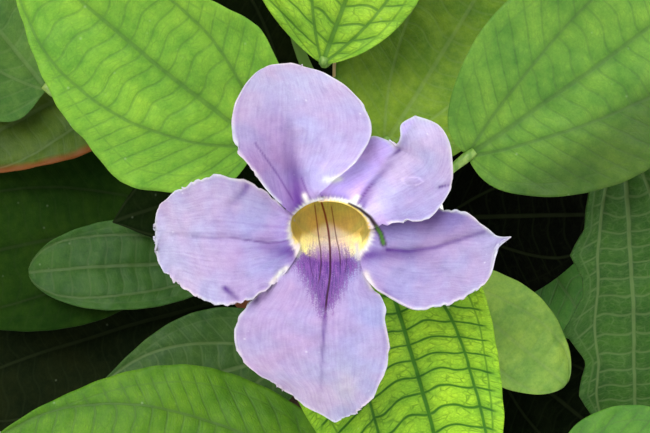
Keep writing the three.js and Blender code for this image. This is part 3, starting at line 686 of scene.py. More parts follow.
def outward_leaf(start, side, draw):
    """A leaf of the shoot's own pairs, turned outwards from the plant's middle."""
    share = (start[2] - FIRST_PAIR) / (TIE_HEIGHT - FIRST_PAIR)
    azimuth = math.atan2(start[1], start[0]) + side * draw.between(0.15, 1.25)
    out = np.array([math.cos(azimuth), math.sin(azimuth), 0])
    up = np.array([0.0, 0.0, 1.0])
    stalk = draw.between(26, 52)
    rise = draw.between(0.1, 0.7)
    base = start + out * stalk * math.cos(rise) + up * stalk * math.sin(rise)
    swing = azimuth + side * draw.between(-0.3, 0.7)
    droop = draw.between(0.5, 1.2) - 0.35 * share
    length = draw.between(64, 88) * (1 - 0.22 * share)
    level = math.cos(droop)
    along = np.array([math.cos(swing) * level, math.sin(swing) * level, -math.sin(droop)])
    facing = out + up * draw.between(0.5, 1.1)
    facing = facing + np.array([-out[1], out[0], 0]) * draw.between(-0.3, 0.3)
    kinds = ["smooth", "corner", "corner", "lobed"]
    form = dict(arch=draw.between(0.04, 0.12), fold=draw.between(4, 12),
                heart=draw.between(0.04, 0.08), lean=draw.between(-0.08, 0.08),
                teeth=kinds[int(draw.between(0, len(kinds)))], wave=draw.between(0.004, 0.02),
                phase=draw.between(0, 2 * math.pi))
    return make_leaf(base, base + along * length, facing, length * draw.between(0.56, 0.68), **form)


def place_leaves():
    """Every leaf of the plant, as (leaf, petiole's start, shoot)."""
    routes = shoot_routes()
    taken, canes = Room(), Room()
    for azimuth in CANE_AZIMUTHS:
        spots = [cane_at(azimuth, z) for z in range(SOIL_TOP, TIE_HEIGHT + 1, 5)]
        taken.take(spots, CANE_RADIUS + 0.6)
        canes.take(spots, CANE_RADIUS + 0.6)
    for route in routes:
        taken.take(route, STEM_RADIUS + 0.4)
    for c in range(-4, -TUBE_DEPTH - 1, -4):
        taken.take(at_face([0, -TUBE_SLOPE * c, c]), 9)
    placed = []

    def keep(leaf, start, shoot):
        taken.take(blade_samples(leaf), BLADE_ROOM)
        taken.take(petiole_points(leaf, start, 8)[3:8], STALK_ROOM)
        placed.append((leaf, start, shoot))

    for base, tip, facing, width, shoot, height, tint, veins, darkness, form in FLOWER_LEAVES:
        leaf = make_leaf(at_face(base), at_face(tip), face_direction(facing), width, **form)
        leaf.update(tint=srgb(*tint), veins=veins, darkness=darkness, near=True,
                    deep=sum(tint) < DEEP_TINT)
        keep(leaf, point_at_height(routes[shoot], height), shoot)
    # The flower's middle and its five lobes
    face_spots = [(0, 0), (-24, 22), (20, 12), (28, -8), (0, -26), (-26, 0)]
    taken.take(at_face([(a, b, -6) for a, b in face_spots]), 16)

    draw = Draw(PLACE_SEED)
    for shoot, route in enumerate(routes):
        z = FIRST_PAIR
        while z < route[-1][2]:
            for side in (-1, 1):
                for _ in range(TRIES):
                    start = point_at_height(route, z + draw.between(-0.4, 0.4) * PAIR_SPACING)
                    leaf = outward_leaf(start, side, draw)
                    stalk = petiole_points(leaf, start, 8)
                    samples = blade_samples(leaf)
                    if (outside_gap(samples) and taken.clear(samples, BLADE_ROOM)
                            and canes.clear(stalk[1:], STALK_ROOM)
                            and taken.clear(stalk[2:8], STALK_ROOM)):
                        keep(leaf, start, shoot)
                        break
            z += PAIR_SPACING
    tones = np.random.default_rng(TONE_SEED)
    for leaf, _, _ in placed:
        if "near" not in leaf:
            fresh = tones.random()
            leaf["tint"] = srgb(70 + 50 * fresh, 126 + 46 * fresh, 44 + 16 * fresh)
            leaf.update(veins=0.6, darkness=0.55, near=False, deep=False)
    return placed


# Veins: a midrib, two ribs on each side that run out from the petiole, and cross veins
RUNG_SPACING = 4.4


def lesser(first, second):
    """The smaller of two lengths, with a rounded change from one to the other."""
    return (np.maximum(first, 0.01) ** -4 + np.maximum(second, 0.01) ** -4) ** -0.25


def side_ribs(leaf, along, half):
    """How far from the midrib the inner and the outer rib run."""
    reach = leaf["rib_reach"] * leaf["width"] / 2
    inner = reach * (1 - np.exp(-leaf["rib_spread"] * along / reach))
    return lesser(inner, 0.9 * half), lesser(2.2 * along + 0.8, 0.84 * half)


def rungs(along, side, rib, seed):
    """How far each point lies from the nearest cross vein, in millimetres."""
    inner = along - 0.12 * side + 0.7 * np.sin(0.5 * side + 9 * seed)
    outer = along - 0.55 * (side - rib) + 0.5 * RUNG_SPACING
    phase = np.where(side < rib, inner, outer)
    phase = (phase + 0.9 * np.sin(0.16 * along + 5 * seed)) / RUNG_SPACING
    return np.abs(phase - np.floor(phase) - 0.5) * RUNG_SPACING


def fine_blade(leaf, rows, columns, seed, thickness=0.45):
    """A finely divided blade with sunken veins, its faces and its marks."""
    v = np.linspace(0.06, 1, rows) ** 1.25
    v = (v - v[0]) / (v[-1] - v[0]) * 0.993 + 0.0035
    u = np.linspace(-1, 1, columns)
    v, u = np.meshgrid(v, u, indexing="ij")
    across = blade_across(leaf, u, v)
    half = np.abs(blade_across(leaf, np.sign(u + 1e-9), v)) + 0.02
    side = np.abs(across)
    along = v * leaf["length"]
    grid = blade_point(leaf, u, v)
    edge = np.clip(half - side, 0, None)
    rib, outer = side_ribs(leaf, along, half)
    relief = 0.45 + 0.55 * leaf["veins"]
    lift = -0.4 * np.exp(-(side / 1.1) ** 2) * (1 - 0.7 * v)
    lift -= 0.28 * np.exp(-((side - rib) / 0.9) ** 2) * smoothstep(0, 0.12, v)
    lift -= relief * 0.12 * np.exp(-((side - outer) / 0.8) ** 2)
    lift -= relief * 0.34 * np.exp(-rungs(along, side, rib, seed) ** 2) * smoothstep(0.3, 2, edge)
    lift += 0.5 * np.sin(0.23 * along + 11 * seed) * np.sin(0.31 * across + 5 * seed)
    lift += 0.2 * np.sin(0.61 * along + 7 * seed) * np.sin(0.53 * across + 3 * seed)
    lift += 0.3 * np.exp(-(edge / 1.5) ** 2) * np.sin(0.9 * along + 3 * seed + u)
    grid = grid + (lift * smoothstep(0, 0.06, v))[..., None] * leaf["z"]
    points, faces = leaf_like(grid, grid - leaf["z"] * thickness)
    blade = np.stack([across, along, half], -1).reshape(-1, 3)
    ribs = np.stack([rib, outer, leaf["rusty"] + 0 * v], -1).reshape(-1, 3)
    tint = np.tile(leaf["tint"], (len(points), 1))
    # Painted shade: the tint darkens across the blade towards one edge
    tint *= 1 - leaf["painted_shade_side"] * smoothstep(4, 18, np.tile(blade[:, :1], (2, 1)))
    is_back = np.repeat([0.0, 1.0], len(blade))
    marks = dict(blade=np.vstack([blade, blade]), ribs=np.vstack([ribs, ribs]),
                 trait=(seed, leaf["veins"], leaf["darkness"]),
                 tint_colour=toned(tint, leaf["tint"] * 0.9 + 0.03, is_back))
    return points, faces, marks


# Petals: rows of a left point, a right point and the height between them, from the throat out.
# Points are right, up and forward of the flower's centre.
LOBES = {
    "upper": [
        ((-7.7, 3, -1), (-1.5, 6.7, -1), 0),
        ((-11, 5.8, 1), (-2.2, 8.6, 2), 0.5),
        ((-17, 13, 2), (1, 12, 4), 0),
        ((-21, 18.6, 2), (6, 16, 4.5), 0.5),
        ((-22.2, 24, 1), (8.9, 22.6, 3.5), 1.5),
        ((-21.4, 29.5, 0), (8, 27.6, 2.5), 1.5),
        ((-18.8, 34.8, -1.5), (3.6, 32.8, 1.5), 1.5),
        ((-15, 37.6, -2.5), (-2.6, 36.3, 0), 0.5),
        ((-9, 38.5, -2.5), (-9, 38.5, -2.5), 0),
    ],
    "upper_right": [
        ((-2.6, 6.5, -1.6), (8.7, 0.6, -1.2), -0.2),
        ((-2.4, 11.6, -3.4), (11, 1.6, 0), 0),
        ((5.2, 18.4, -4), (17.5, 2.3, 1), 0.5),
        ((9, 21.6, -4), (23.1, 3.8, 1), 1),
        ((12.8, 20.9, -3.5), (26.6, 9, 1), 1.2),
        ((14.8, 19.4, -1.5), (27.3, 15.6, 1), 1),
        ((15.6, 21.4, 1.5), (26.4, 20.8, 1), 0.6),
        ((15.6, 24.2, 2), (24, 24.2, 1), 0.3),
        ((19, 26.2, 1.5), (19, 26.2, 1.5), 0),
    ],
    "right": [
        ((8.6, 0.2, -2.2), (6.4, -4.6, -1.5), -0.2),
        ((12, 2.9, -3.4), (7.9, -10.2, -0.4), -0.6),
        ((17, 4.4, -3.6), (14.6, -15.6, 0), -1),
        ((24, 5.2, -3.6), (20, -17.4, -0.5), -1),
        ((30, 4.6, -3.4), (26.4, -16.3, -1), -1),
        ((34.6, 1.6, -3.2), (31.8, -14, -1.5), -0.6),
        ((37.4, -0.4, -3), (35.6, -10.6, -2), -0.4),
        ((39.2, -1, -3), (37.6, -4.4, -2.5), 0),
        ((41, -1.1, -3), (41, -1.1, -3), 0),
    ],
    "lower": [
        ((6.9, -4.2, -0.9), (-7.8, -2.9, -0.9), 0),
        ((8.6, -11.6, -1.2), (-12.4, -8.4, -1.3), 0.4),
        ((11.6, -15.6, -1.4), (-16.8, -14.4, -1.9), 1),
        ((12.4, -20.6, -1.6), (-20.6, -19, -1.8), 2),
        ((13.4, -25.8, -2), (-21.6, -25, -2.2), 2),
        ((12.2, -32, -2.6), (-18.8, -30.6, -2.8), 1.6),
        ((9.4, -38, -3.6), (-11.6, -35.4, -3.6), 1.2),
        ((5.6, -41.4, -4.6), (-5.8, -39.8, -4.6), 0.6),
        ((1, -43.6, -5.4), (1, -43.6, -5.4), 0),
    ],
    "left": [
        ((-6.9, -4.2, -1.5), (-7.3, 3.8, -1.2), 0),
        ((-10.8, -9.9, -1.7), (-11.4, 5.8, -0.6), -0.2),
        ((-15.4, -13.6, 0.4), (-15.4, 9.8, -1), -0.6),
        ((-20.4, -16, 0.4), (-20.4, 11.8, -1), -0.8),
        ((-26.4, -16.2, 0), (-26.4, 12.8, -1), -0.6),
        ((-32, -13.6, -0.8), (-32.4, 10.6, -1.4), -0.4),
        ((-36.4, -10.2, -1.6), (-36.6, 8.2, -2), 0),
        ((-39, -7.4, -2.4), (-39.4, 5, -2.6), 0),
        ((-40, -1.4, -2.8), (-40, -1.4, -2.8), 0),
    ],
}
# Rows of the lip that turns into the throat, its depth there, and the share of the lobe it takes
LIPS = {
    "lower": (26, -10.4, 0.2), "upper": (12, -3.8, 0.06), "upper_right": (12, -3.8, 0.015),
    "right": (12, -3.8, 0.09), "left": (12, -3.8, 0.09),
}
# Depths of the tube with its width and height there
TUBE_FORM = [
    (0, 1, 1), (-6, 1.08, 1.1), (-12, 1.04, 1.1), (-18, 0.92, 1), (-24, 0.74, 0.84), (-29, 0.54, 0.64),
    (-34, 0.44, 0.52), (-TUBE_DEPTH, 0.4, 0.48),
]


def tube_size(depth):
    """The tube's width and height at a depth, as shares of the mouth's."""
    form = np.array(TUBE_FORM)[::-1]
    return np.interp(depth, form[:, 0], form[:, 1]), np.interp(depth, form[:, 0], form[:, 2])


def tube_point(turn, depth, wall=0.0):
    """A point of the throat's wall, in the flower's own right, up and forward."""
    wide, tall = tube_size(depth)
    a = (MOUTH_HALF_WIDTH * wide + wall) * np.cos(turn)
    b = (MOUTH_HALF_HEIGHT * tall + wall) * np.sin(turn)
    return np.stack(np.broadcast_arrays(a, b - TUBE_SLOPE * depth, depth + MOUTH_DEPTH), -1)


def mouth_turns(knots, s):
    """Turns round the mouth of the points between a lobe's two base corners."""
    first, last = (math.atan2(p[1] / MOUTH_HALF_HEIGHT, p[0] / MOUTH_HALF_WIDTH) for p in knots[0][:2])
    way = last - first
    way -= 2 * math.pi * round(way / (2 * math.pi))
    return first + way * s


def lobe_grid(knots, s, t):
    """Points of a lobe, its base bent round the mouth's rim."""
    left = spline([k[0] for k in knots], t)[:, None, :]
    right = spline([k[1] for k in knots], t)[:, None, :]
    swell = np.interp(t * (len(knots) - 1), range(len(knots)), [k[2] for k in knots])
    share = s[None, :, None]
    grid = left + (right - left) * share
    turns = mouth_turns(knots, s)
    rim = np.stack([MOUTH_HALF_WIDTH * np.cos(turns), MOUTH_HALF_HEIGHT * np.sin(turns),
                    np.full(len(s), knots[0][0][2])], 1)
    first, last = np.array(knots[0][0]), np.array(knots[0][1])
    chord = first + (last - first) * s[:, None]
    grid = grid + (rim - chord)[None] * ((1 - t) ** 4)[:, None, None]
    grid[..., 2] += 4 * share[..., 0] * (1 - share[..., 0]) * swell[:, None]
    return grid


def lobe_surface(knots, rows, columns, lip_rows, lip_depth, lip_end):
    """One lobe from inside the throat, over the lip and out to its tip."""
    flat = np.linspace(0, 1, columns)
    s = 0.5 * flat + 0.5 * (0.5 - 0.5 * np.cos(math.pi * flat))
    t = 1 - (1 - np.linspace(0, 1, rows)) ** 1.35
    t = lip_end + (0.998 - lip_end) * t
    out = lobe_grid(knots, s, t)
    # The lip leaves the throat's wall and meets the lobe along their own directions
    after = lobe_grid(knots, s, np.array([lip_end, lip_end + 0.01]))
    turns = mouth_turns(knots, s)
    turns = turns.mean() + 1.08 * (turns - turns.mean())
    start = tube_point(turns, np.full(columns, lip_depth), -0.03)
    start_next = tube_point(turns, np.full(columns, lip_depth + 0.6), -0.03)
    reach = np.linalg.norm(after[0] - start, axis=1, keepdims=True)
    from_tangent = unit(start_next - start) * reach * 1.1
    to_tangent = unit(after[1] - after[0]) * reach * 1.1
    lip = []
    for h in np.concatenate([[0, 0.004], np.linspace(0, 1, lip_rows)[1:-1]]):
        lip.append((2 * h ** 3 - 3 * h ** 2 + 1) * start + (h ** 3 - 2 * h ** 2 + h) * from_tangent
                   + (3 * h ** 2 - 2 * h ** 3) * after[0] + (h ** 3 - h ** 2) * to_tangent)
    return np.concatenate([np.array(lip), out]), s, np.concatenate([np.zeros(lip_rows), t])


def mouth_share(a, b):
    """How far out a point of the face lies: 1 on the mouth's rim."""
    return np.hypot(a / MOUTH_HALF_WIDTH, (b - 0.2) / MOUTH_HALF_HEIGHT)


def crinkle(grid, edge, seed, settle):
    """Creases and swells over a lobe, fading into the throat, and small waves along its edge."""
    rows, columns = grid.shape[:2]
    flat = grid.reshape(-1, 3)
    middle = grid.mean(axis=1, keepdims=True) + 0 * grid
    outward = unit(flat - middle.reshape(-1, 3) + 1e-9)
    beat = 0.55 * np.arctan2(flat[:, 1], flat[:, 0]) * np.hypot(flat[:, 0], flat[:, 1])
    beat = beat + 0.6 * flat[:, 0] - 0.4 * flat[:, 1]
    near = np.exp(-(edge / 0.8) ** 2)
    # The edge is rougher in some places than in others
    uneven = 0.5 + 0.5 * np.sin(0.37 * beat + 2.3 * seed)
    ragged = 0.22 * np.sin(3.1 * beat + seed) + 0.16 * np.sin(5.3 * beat + 2 * seed)
    notches = np.sin(1.9 * beat) > 0.9
    ragged = uneven * ragged + 0.22 * np.sin(1.1 * beat + 3 * seed) - 0.3 * uneven * notches
    flat = flat + outward * (near * ragged)[:, None]
    swell = settle * smoothstep(0, 6, edge)
    a, b = flat[:, 0].copy(), flat[:, 1].copy()
    flat[:, 2] += 0.28 * swell * np.sin(0.75 * a + 0.2 * b + seed) * np.sin(0.6 * b - 0.15 * a + 2 * seed)
    flat[:, 2] += 0.12 * swell * np.sin(1.7 * a - 0.5 * b + 3 * seed) * np.sin(1.4 * b + 0.6 * a)
    outside = smoothstep(1.02, 1.35, mouth_share(a, b))
    for line, depth, width in CREASES:
        gap, _ = line_distance(flat[:, :2], line)
        flat[:, 2] -= depth * settle * np.exp(-(gap / width) ** 2) * outside
    flat[:, 2] += (0.3 + 0.35 * uneven) * np.exp(-(edge / 2.2) ** 2) * np.sin(0.9 * beat + seed)
    flat[:, 2] += 0.3 * np.exp(-(edge / 0.5) ** 2)
    return flat.reshape(rows, columns, 3)


# The share of light that the petals' colours keep
PETAL_SHADE = 0.72
# Marks on the flower's face, right and up of its centre: first the outline of the violet patch
PATCH = [(-7.9, -6.1), (-7.0, -5.0), (-4.7, -3.0), (-2.7, -0.9), (-0.2, 0.0), (2.6, -1.4), (4.4, -4.0),
         (6.4, -7.3), (6.2, -8.4), (4.1, -11.1), (2.6, -13.8), (0.5, -17.0), (-1.3, -19.5), (-2.7, -18.4),
         (-4.2, -14.7), (-6.3, -11.0), (-8.3, -7.7)]
# Dark lines in the throat: points from the top down, how wide and how strong
NERVES = [
    ([(-2.0, 6.4), (-1.0, 2.7), (-0.3, -1.8), (-0.1, -5.8), (-0.2, -10.3), (-0.8, -14.3), (-1.3, -19.0)],
     0.3, 0.95),
    ([(-3.7, 5.8), (-3.2, 2.1), (-2.7, -1.8), (-2.3, -4.6), (-2.3, -8.6), (-3.0, -12.4)], 0.2, 0.75),
    ([(0.3, 5.4), (0.8, 2.1), (1.4, -1.8), (2.0, -4.6), (2.2, -8.6)], 0.2, 0.7),
    ([(-4.8, -4.4), (-4.6, -7.5), (-3.8, -10.6)], 0.14, 0.4),
    ([(3.5, -4.4), (3.6, -6.5), (3.2, -9.5)], 0.14, 0.4),
]
# Violet lines: how wide, and how much of the colour is left at the end
VIOLET_STROKES = [
    ([(-7.0, 5.9), (-7.6, 9.5), (-9.0, 16.3), (-9.9, 24.2)], 1.9, 0.2),
    ([(-7.6, -4.4), (-11.3, -4.3), (-15.3, -3.2)], 1.9, 0.4),
    ([(6.6, -5.4), (12.9, -5.0), (23.1, -5.4)], 1.4, 0.2),
    ([(12.9, -4.1), (17.9, -4.5), (23.6, -3.6), (29.6, -1.8), (35.0, 0.1)], 0.5, 0.5),
    ([(-2.0, 7.4), (0.3, 7.4), (3.0, 7.3)], 1.3, 0.8),
    ([(6.0, 6.4), (8.4, 9.9), (12.9, 14.7), (15.2, 16.7)], 0.7, 0.1),
    ([(7.0, 5.4), (8.0, 7.2), (9.6, 9.4)], 0.7, 0.2),
    ([(-1.3, -19.0), (-1.8, -26.7), (-2.2, -36.1)], 0.4, 0.1),
    ([(-17.4, -15.4), (-15.2, -14.4)], 1.0, 0.4),
    ([(-18.4, 11.8), (-19.7, 9.0), (-22.9, 5.4)], 0.8, 0.1),
    ([(-23.9, -12.7), (-20.7, -15.6)], 0.7, 0.3),
    ([(24.6, 10.2), (26.9, 10.6)], 0.25, 0.5),
    ([(15.6, 18.6), (13.0, 16.6)], 0.35, 0.2),
    ([(12.0, -14.0), (14.6, -15.4)], 0.9, 0.3),
]
# Thin violet lines and how wide they are
THIN_STROKES = [
    ([(-6.6, 12.2), (-5.6, 9.5), (-4.4, 7.1)], 0.25),
    ([(9.3, 10.9), (7.8, 8.8), (6.2, 6.6)], 0.25),
    ([(-31.3, -1.1), (-21.3, -1.5), (-14.2, -2.5), (-11.3, -2.3), (-8.7, -1.5)], 0.2),
    ([(-17.0, 20.0), (-12.0, 13.0), (-8.4, 7.0)], 0.2),
]
# Creases pressed into the lobes: a line, how deep and how wide
CREASES = [
    ([(9.0, -4.6), (17.9, -4.5), (23.6, -3.6), (29.6, -1.8), (38.0, -0.6)], 0.9, 1.2),
    ([(-18.4, 12.4), (-19.7, 9.0), (-22.9, 5.4)], 0.6, 1.1),
    ([(-36.0, -1.0), (-21.3, -1.5), (-14.2, -2.5), (-9.5, -1.8)], 0.5, 0.8),
    ([(-15.3, -3.4), (-9.4, -4.7)], 0.7, 1.3),
    ([(-1.3, -17.0), (-1.8, -26.7), (-2.2, -39.1)], 0.6, 0.8),
    ([(15.6, 17.4), (12.9, 14.7), (8.4, 9.9), (6.4, 7.0)], 0.35, 1.2),
    ([(18.6, 23.0), (15.8, 18.4)], 0.5, 0.9),
    ([(24.2, 9.6), (27.4, 10.6)], 0.5, 0.7),
    ([(-8.4, 7.5), (-9.2, 16.3), (-10.4, 27.0)], 0.8, 1.5),
    ([(-5.0, 8.0), (-6.4, 14.0), (-6.0, 22.0)], 0.4, 0.9),
    ([(-16.6, -15.6), (-14.0, -13.0)], 0.6, 1.1),
    ([(-22.6, -15.4), (-20.0, -10.0)], 0.4, 1.0),
    ([(17.0, -17.0), (15.0, -10.0)], 0.35, 1.2),
    ([(28.0, -15.5), (25.0, -9.0)], 0.35, 1.3),
]
# White spots of the mouth's rim and how wide they are
HALO_STROKES = [
    ([(-5.2, 6.6), (-5.9, 8.2)], 0.6),
    ([(5.3, 6.6), (6.0, 8.0)], 0.6),
]
# Pale spots where the lobes meet and how wide they are; the first and the third are painted highlights on
# lit lobe edges
PALE_SPOTS_AND_HIGHLIGHTS = [
    ([(-1.3, 11.8), (0.1, 11.7), (2.1, 12.1)], 0.7),
    ([(-10.1, -8.2), (-11.6, -9.4), (-13.4, -11.6)], 0.6),
    ([(8.0, -9.5), (9.4, -12.4)], 0.7),
    ([(-7.4, -3.0), (-7.6, -5.4)], 0.6),
    ([(5.9, -3.0), (6.3, -6.0)], 0.55),
]
# A painted shadow line where the two lobes at the right meet: dark, and green at its lower end, painted as
# leaves seen through a gap
GAP_SHADOW_LINE = [(4.1, 6.5), (6.6, 5.2), (8.9, 3.3), (10.2, 1.4), (11.4, -0.4), (12.0, -2.6)]

# The drop on the upper right lobe
DROP_CENTRE = (18.4, 11.5)
DROP_HALF_WIDTH = 2.3
DROP_HALF_HEIGHT = 0.95
# Stands for a place far from an edge, or far outside the patch
FAR = 9.0


def drop_share(a, b):
    """How far from the drop's middle a point lies: 1 on its rim."""
    return np.hypot((a - DROP_CENTRE[0]) / DROP_HALF_WIDTH, (b - DROP_CENTRE[1]) / DROP_HALF_HEIGHT)


def patch_depth(flat):
    """How deep points lie inside the violet patch, in millimetres, below 0 outside it."""
    gap, _ = line_distance(flat, PATCH + PATCH[:1])
    return np.clip(np.where(inside(flat, PATCH), gap, -gap), -FAR, FAR)


def petal_colours(points, lobe, edge, seed):
    """Colours of a lobe or the throat: lilac, deeper inwards, with the flower's marks."""
    flat = points[:, :2]
    a, b = flat.T
    reach = np.hypot(a, b)
    beam = np.arctan2(b, a)
    rays = (0.5 + 0.3 * np.sin(47 * beam + 3 * np.sin(5 * beam))
            + 0.2 * np.sin(83 * beam + 2 * np.sin(9 * beam)))
    streak = 0.5 + 0.25 * np.sin(38 * beam + seed) + 0.25 * np.sin(61 * beam + 2 * seed)
    mouth = mouth_share(a, b)
    near = np.exp(-np.clip(mouth - 1, 0, None) / 0.5)
    drift = (0.5 + 0.3 * np.sin(0.21 * a + 0.13 * b + 2.1 * seed)
             + 0.2 * np.sin(0.43 * b - 0.31 * a + 5 * seed))
    colour = np.tile(srgb(200, 182, 230), (len(points), 1))
    colour = toned(colour, srgb(190, 184, 234), drift)
    colour = toned(colour, srgb(208, 198, 233), smoothstep(20, 38, reach))
    colour = toned(colour, srgb(142, 92, 190), near * (0.5 + 0.5 * streak))
    colour = toned(colour, srgb(178, 148, 214), 0.5 * streak * np.exp(-(reach - 9) / 10))

    def wash(red, green, blue, amount):
        return toned(colour, srgb(red, green, blue), amount)

    def stroke(line, width, red, green, blue, strength=1.0):
        gap, _ = line_distance(flat, line)
        return wash(red, green, blue, strength * np.exp(-(gap / width) ** 2))

    if lobe == "upper":
        # Painted shade and light of the fold: darker and pinker left of it, lighter right of it
        left = smoothstep(3.5, -3.5, a + 8.6 + 0.1 * (b - 10))
        colour = wash(164, 132, 194, 0.8 * left * smoothstep(46, 14, reach))
        colour = wash(212, 200, 244, 0.6 * (1 - left) * smoothstep(36, 12, b))
        colour = wash(140, 92, 178, 0.7 * np.exp(-((a + 7.8) / 3) ** 2) * smoothstep(20, 7, b))
    if lobe == "upper_right":
        # Painted light: the flap behind the ridge is lightened out of the raised part's shadow, with a
        # painted highlight along the raised part
        ridge = a - 5.5 - 0.68 * (b - 6.1)
        behind = smoothstep(1.5, -1.5, ridge)
        colour = wash(198, 172, 240, 0.85 * behind) * (1 + 0.3 * behind[:, None])
        colour = wash(226, 214, 252, 0.75 * np.exp(-((ridge - 5) / 4) ** 2))
    if lobe == "right":
        # Darker all over, with painted shade over its upper part under the upper right lobe
        colour = wash(180, 164, 216, 0.5)
        colour = wash(134, 108, 186, 0.9 * smoothstep(-4, 3, b - 0.06 * (a - 12)) * smoothstep(42, 24, a))
    if lobe == "left":
        colour = wash(204, 186, 222, 0.4 * smoothstep(0, 8, b))
    for line, width, fade in VIOLET_STROKES:
        gap, share = line_distance(flat, line)
        colour = wash(94, 40, 152, 0.95 * ((1 - share) + share * fade) * np.exp(-(gap / width) ** 2))
    if lobe == "lower":
        colour = wash(206, 176, 224, 0.4 * smoothstep(-1, -8, a) * smoothstep(-40, -30, b))
        colour = wash(186, 184, 234, 0.4 * smoothstep(-1, 6, a))
        colour = wash(206, 214, 218, 0.45 * np.exp(-((a - 3.5) / 2.5) ** 2 - ((b + 35) / 4) ** 2))
    patch = patch_depth(flat) if lobe in ("lower", "throat") else np.full(len(flat), -FAR)
    for line, width in THIN_STROKES:
        colour = stroke(line, width, 104, 56, 146, 0.75)
    lip = mouth - 0.05 * (rays - 0.5)
    white = np.exp(-np.clip((lip - 1.06) / 0.08, -9, 9) ** 2)
    white = white + smoothstep(1.3, 1.0, lip) * rays * 0.2
    colour = wash(250, 246, 240, white * smoothstep(0.9, -0.9, patch) * smoothstep(-10, -6, b))
    for line, width in HALO_STROKES:
        colour = stroke(line, width, 250, 247, 242)
    yellow = smoothstep(1.06, 0.98, lip)
    middle = np.exp(-((a - 0.4) / 4.0) ** 2) * smoothstep(4.5, -0.5, b)
    shaded = smoothstep(-0.4, 1.6, b - 1.4 * np.exp(-((a + 1) / 3.0) ** 2) + 0.25 * np.abs(a))
    gold = toned(np.tile(srgb(254, 246, 150), (len(points), 1)), srgb(252, 238, 214), 0.9 * middle)
    gold = toned(gold, srgb(238, 206, 226), smoothstep(-1.5, -5.5, b) * np.exp(-((a + 0.2) / 4.4) ** 4))
    gold = toned(gold, srgb(222, 196, 84), 0.85 * shaded)
    colour = colour + (1.35 * gold - colour) * yellow[:, None]
    # Pale spots, and painted highlights on lit lobe edges
    for line, width in PALE_SPOTS_AND_HIGHLIGHTS:
        colour = stroke(line, width, 250, 248, 240)
    if lobe != "throat":
        rim = 0.2 + 0.4 * (0.5 + 0.5 * np.sin(0.5 * a + 0.9 * seed) * np.sin(0.37 * b + seed))
        colour = wash(244, 242, 248, 0.9 * np.exp(-(edge / rim) ** 2) * (reach > 13))
    if lobe in ("upper_right", "right"):
        # A painted shadow line where the two lobes meet, green at its lower end
        gap, share = line_distance(flat, GAP_SHADOW_LINE)
        colour = wash(44, 18, 34, np.exp(-(gap / (0.28 + 0.5 * share)) ** 4))
        colour = wash(84, 140, 44, smoothstep(0.55, 0.7, share) * np.exp(-(gap / 0.4) ** 4))
    return PETAL_SHADE * colour


# A curve's values run from 0 to 1, and stand for this many millimetres across the face
CURVE_SPAN = 16.0
# The widest that the tissue's grain is laid out across a lobe
RUN_WIDTH = 24


def build_petal_tissue(name="petal_tissue", glow=0.3):
    """Lilac tissue: veins that fan out, mottling, and a streaked violet patch with dark nerves."""
    r = Recipe(name)
    across, along, _ = r.parts(r.mark("petal_run"))
    run = r.place(across, along, 4.0)
    fine = r.noise(r.place(across * 2.2, along * 0.16, 0.0), 1.0, 3)
    cloud = r.noise(run, 0.2, 4, 0.6)
    grain = r.noise(run, 3.2, 3, 0.7)
    mottle = r.noise(run, 0.7, 3, 0.6)
    shade = 0.43
    for layer, amount in ((fine, 0.34), (cloud, 0.3), (mottle, 0.26), (grain, 0.24)):
        shade = layer * amount + shade
    tone = r.fill(r.node("ShaderNodeCombineColor"), Red=shade, Green=shade ** 1.3, Blue=shade ** 0.65)
    colour = r.tinted(r.mark("petal_colour", "Color"), r.take(tone))
    hue = r.noise(r.place(across, along, 30.0), 0.13, 2)
    colour = r.mix(r.ease(hue, 0.35, 0.65), r.tinted(colour, (1.06, 0.96, 0.99)),
                   r.tinted(colour, (0.95, 1.0, 1.04)))
    speck = r.line(r.cells(run, 0.3, "F1"), 0.0, 0.1)
    colour = r.mix(speck * 0.45, colour, (0.86, 0.84, 0.9))
    a, b, _ = r.parts(r.mark("face_place"))
    nerve_share, patch, _ = r.parts(r.mark("nerve_share"))
    # The patch breaks up into streaks and dots along its border
    streak = r.noise(r.place(a * 2.6, b * 0.3, 2.0), 1.0, 3, 0.6)
    dots = r.noise(r.place(a, b, 7.0), 4.2, 2, 0.6)
    ragged = (streak - 0.5) * 5.0 + (dots - 0.5) * 5.0
    stain = r.ease(patch + ragged, -1.2, 1.6) * r.ease(ragged - b, 0.4, 7.0)
    violet = r.mix(r.ease(streak, 0.35, 0.68), srgb(70, 24, 118), srgb(124, 66, 156))
    violet = r.mix(r.ease(dots, 0.55, 0.75) * 0.4, violet, srgb(196, 158, 206))
    colour = r.mix(stain * 0.9, colour, violet)
    # Each nerve is a curve that gives its place across the face for a height on it
    dark = 0.0
    for line, width, depth in NERVES:
        curve = r.node("ShaderNodeFloatCurve")
        low, high = line[-1][1], line[0][1]
        handles = curve.mapping.curves[0].points
        spots = [((y - low) / (high - low), (x + CURVE_SPAN / 2) / CURVE_SPAN) for x, y in reversed(line)]
        handles[0].location = spots[0]
        handles[-1].location = spots[-1]
        for spot in spots[1:-1]:
            handles.new(*spot)
        curve.mapping.update()
        share = (b - low) / (high - low)
        centre = r.take(r.fill(curve, Value=share)) * CURVE_SPAN - CURVE_SPAN / 2
        ends = r.ease(share, -0.02, 0.12) * r.line(share, 1.0, 0.08)
        strength = r.line(abs(a - centre), 0.4 * width, 0.8 * width) * (ends * depth)
        dark = r.most(dark, strength)
    dark = dark * nerve_share
    nerve = r.mix(r.ease(b, -7.0, 3.0), srgb(50, 6, 46), srgb(146, 54, 26))
    colour = r.mix(dark, colour, nerve)
    normal = r.bump(fine * 0.7 + grain * 0.3 + mottle * 0.9, 0.0003, 0.8)
    return r.finish(colour, normal, glow=glow, Roughness=0.5, Specular_IOR_Level=0.25, Sheen_Weight=0.06)


def build_throat_tissue():
    """The same tissue where it is thinner, so that daylight fills the throat."""
    return build_petal_tissue("throat_tissue", 0.62)


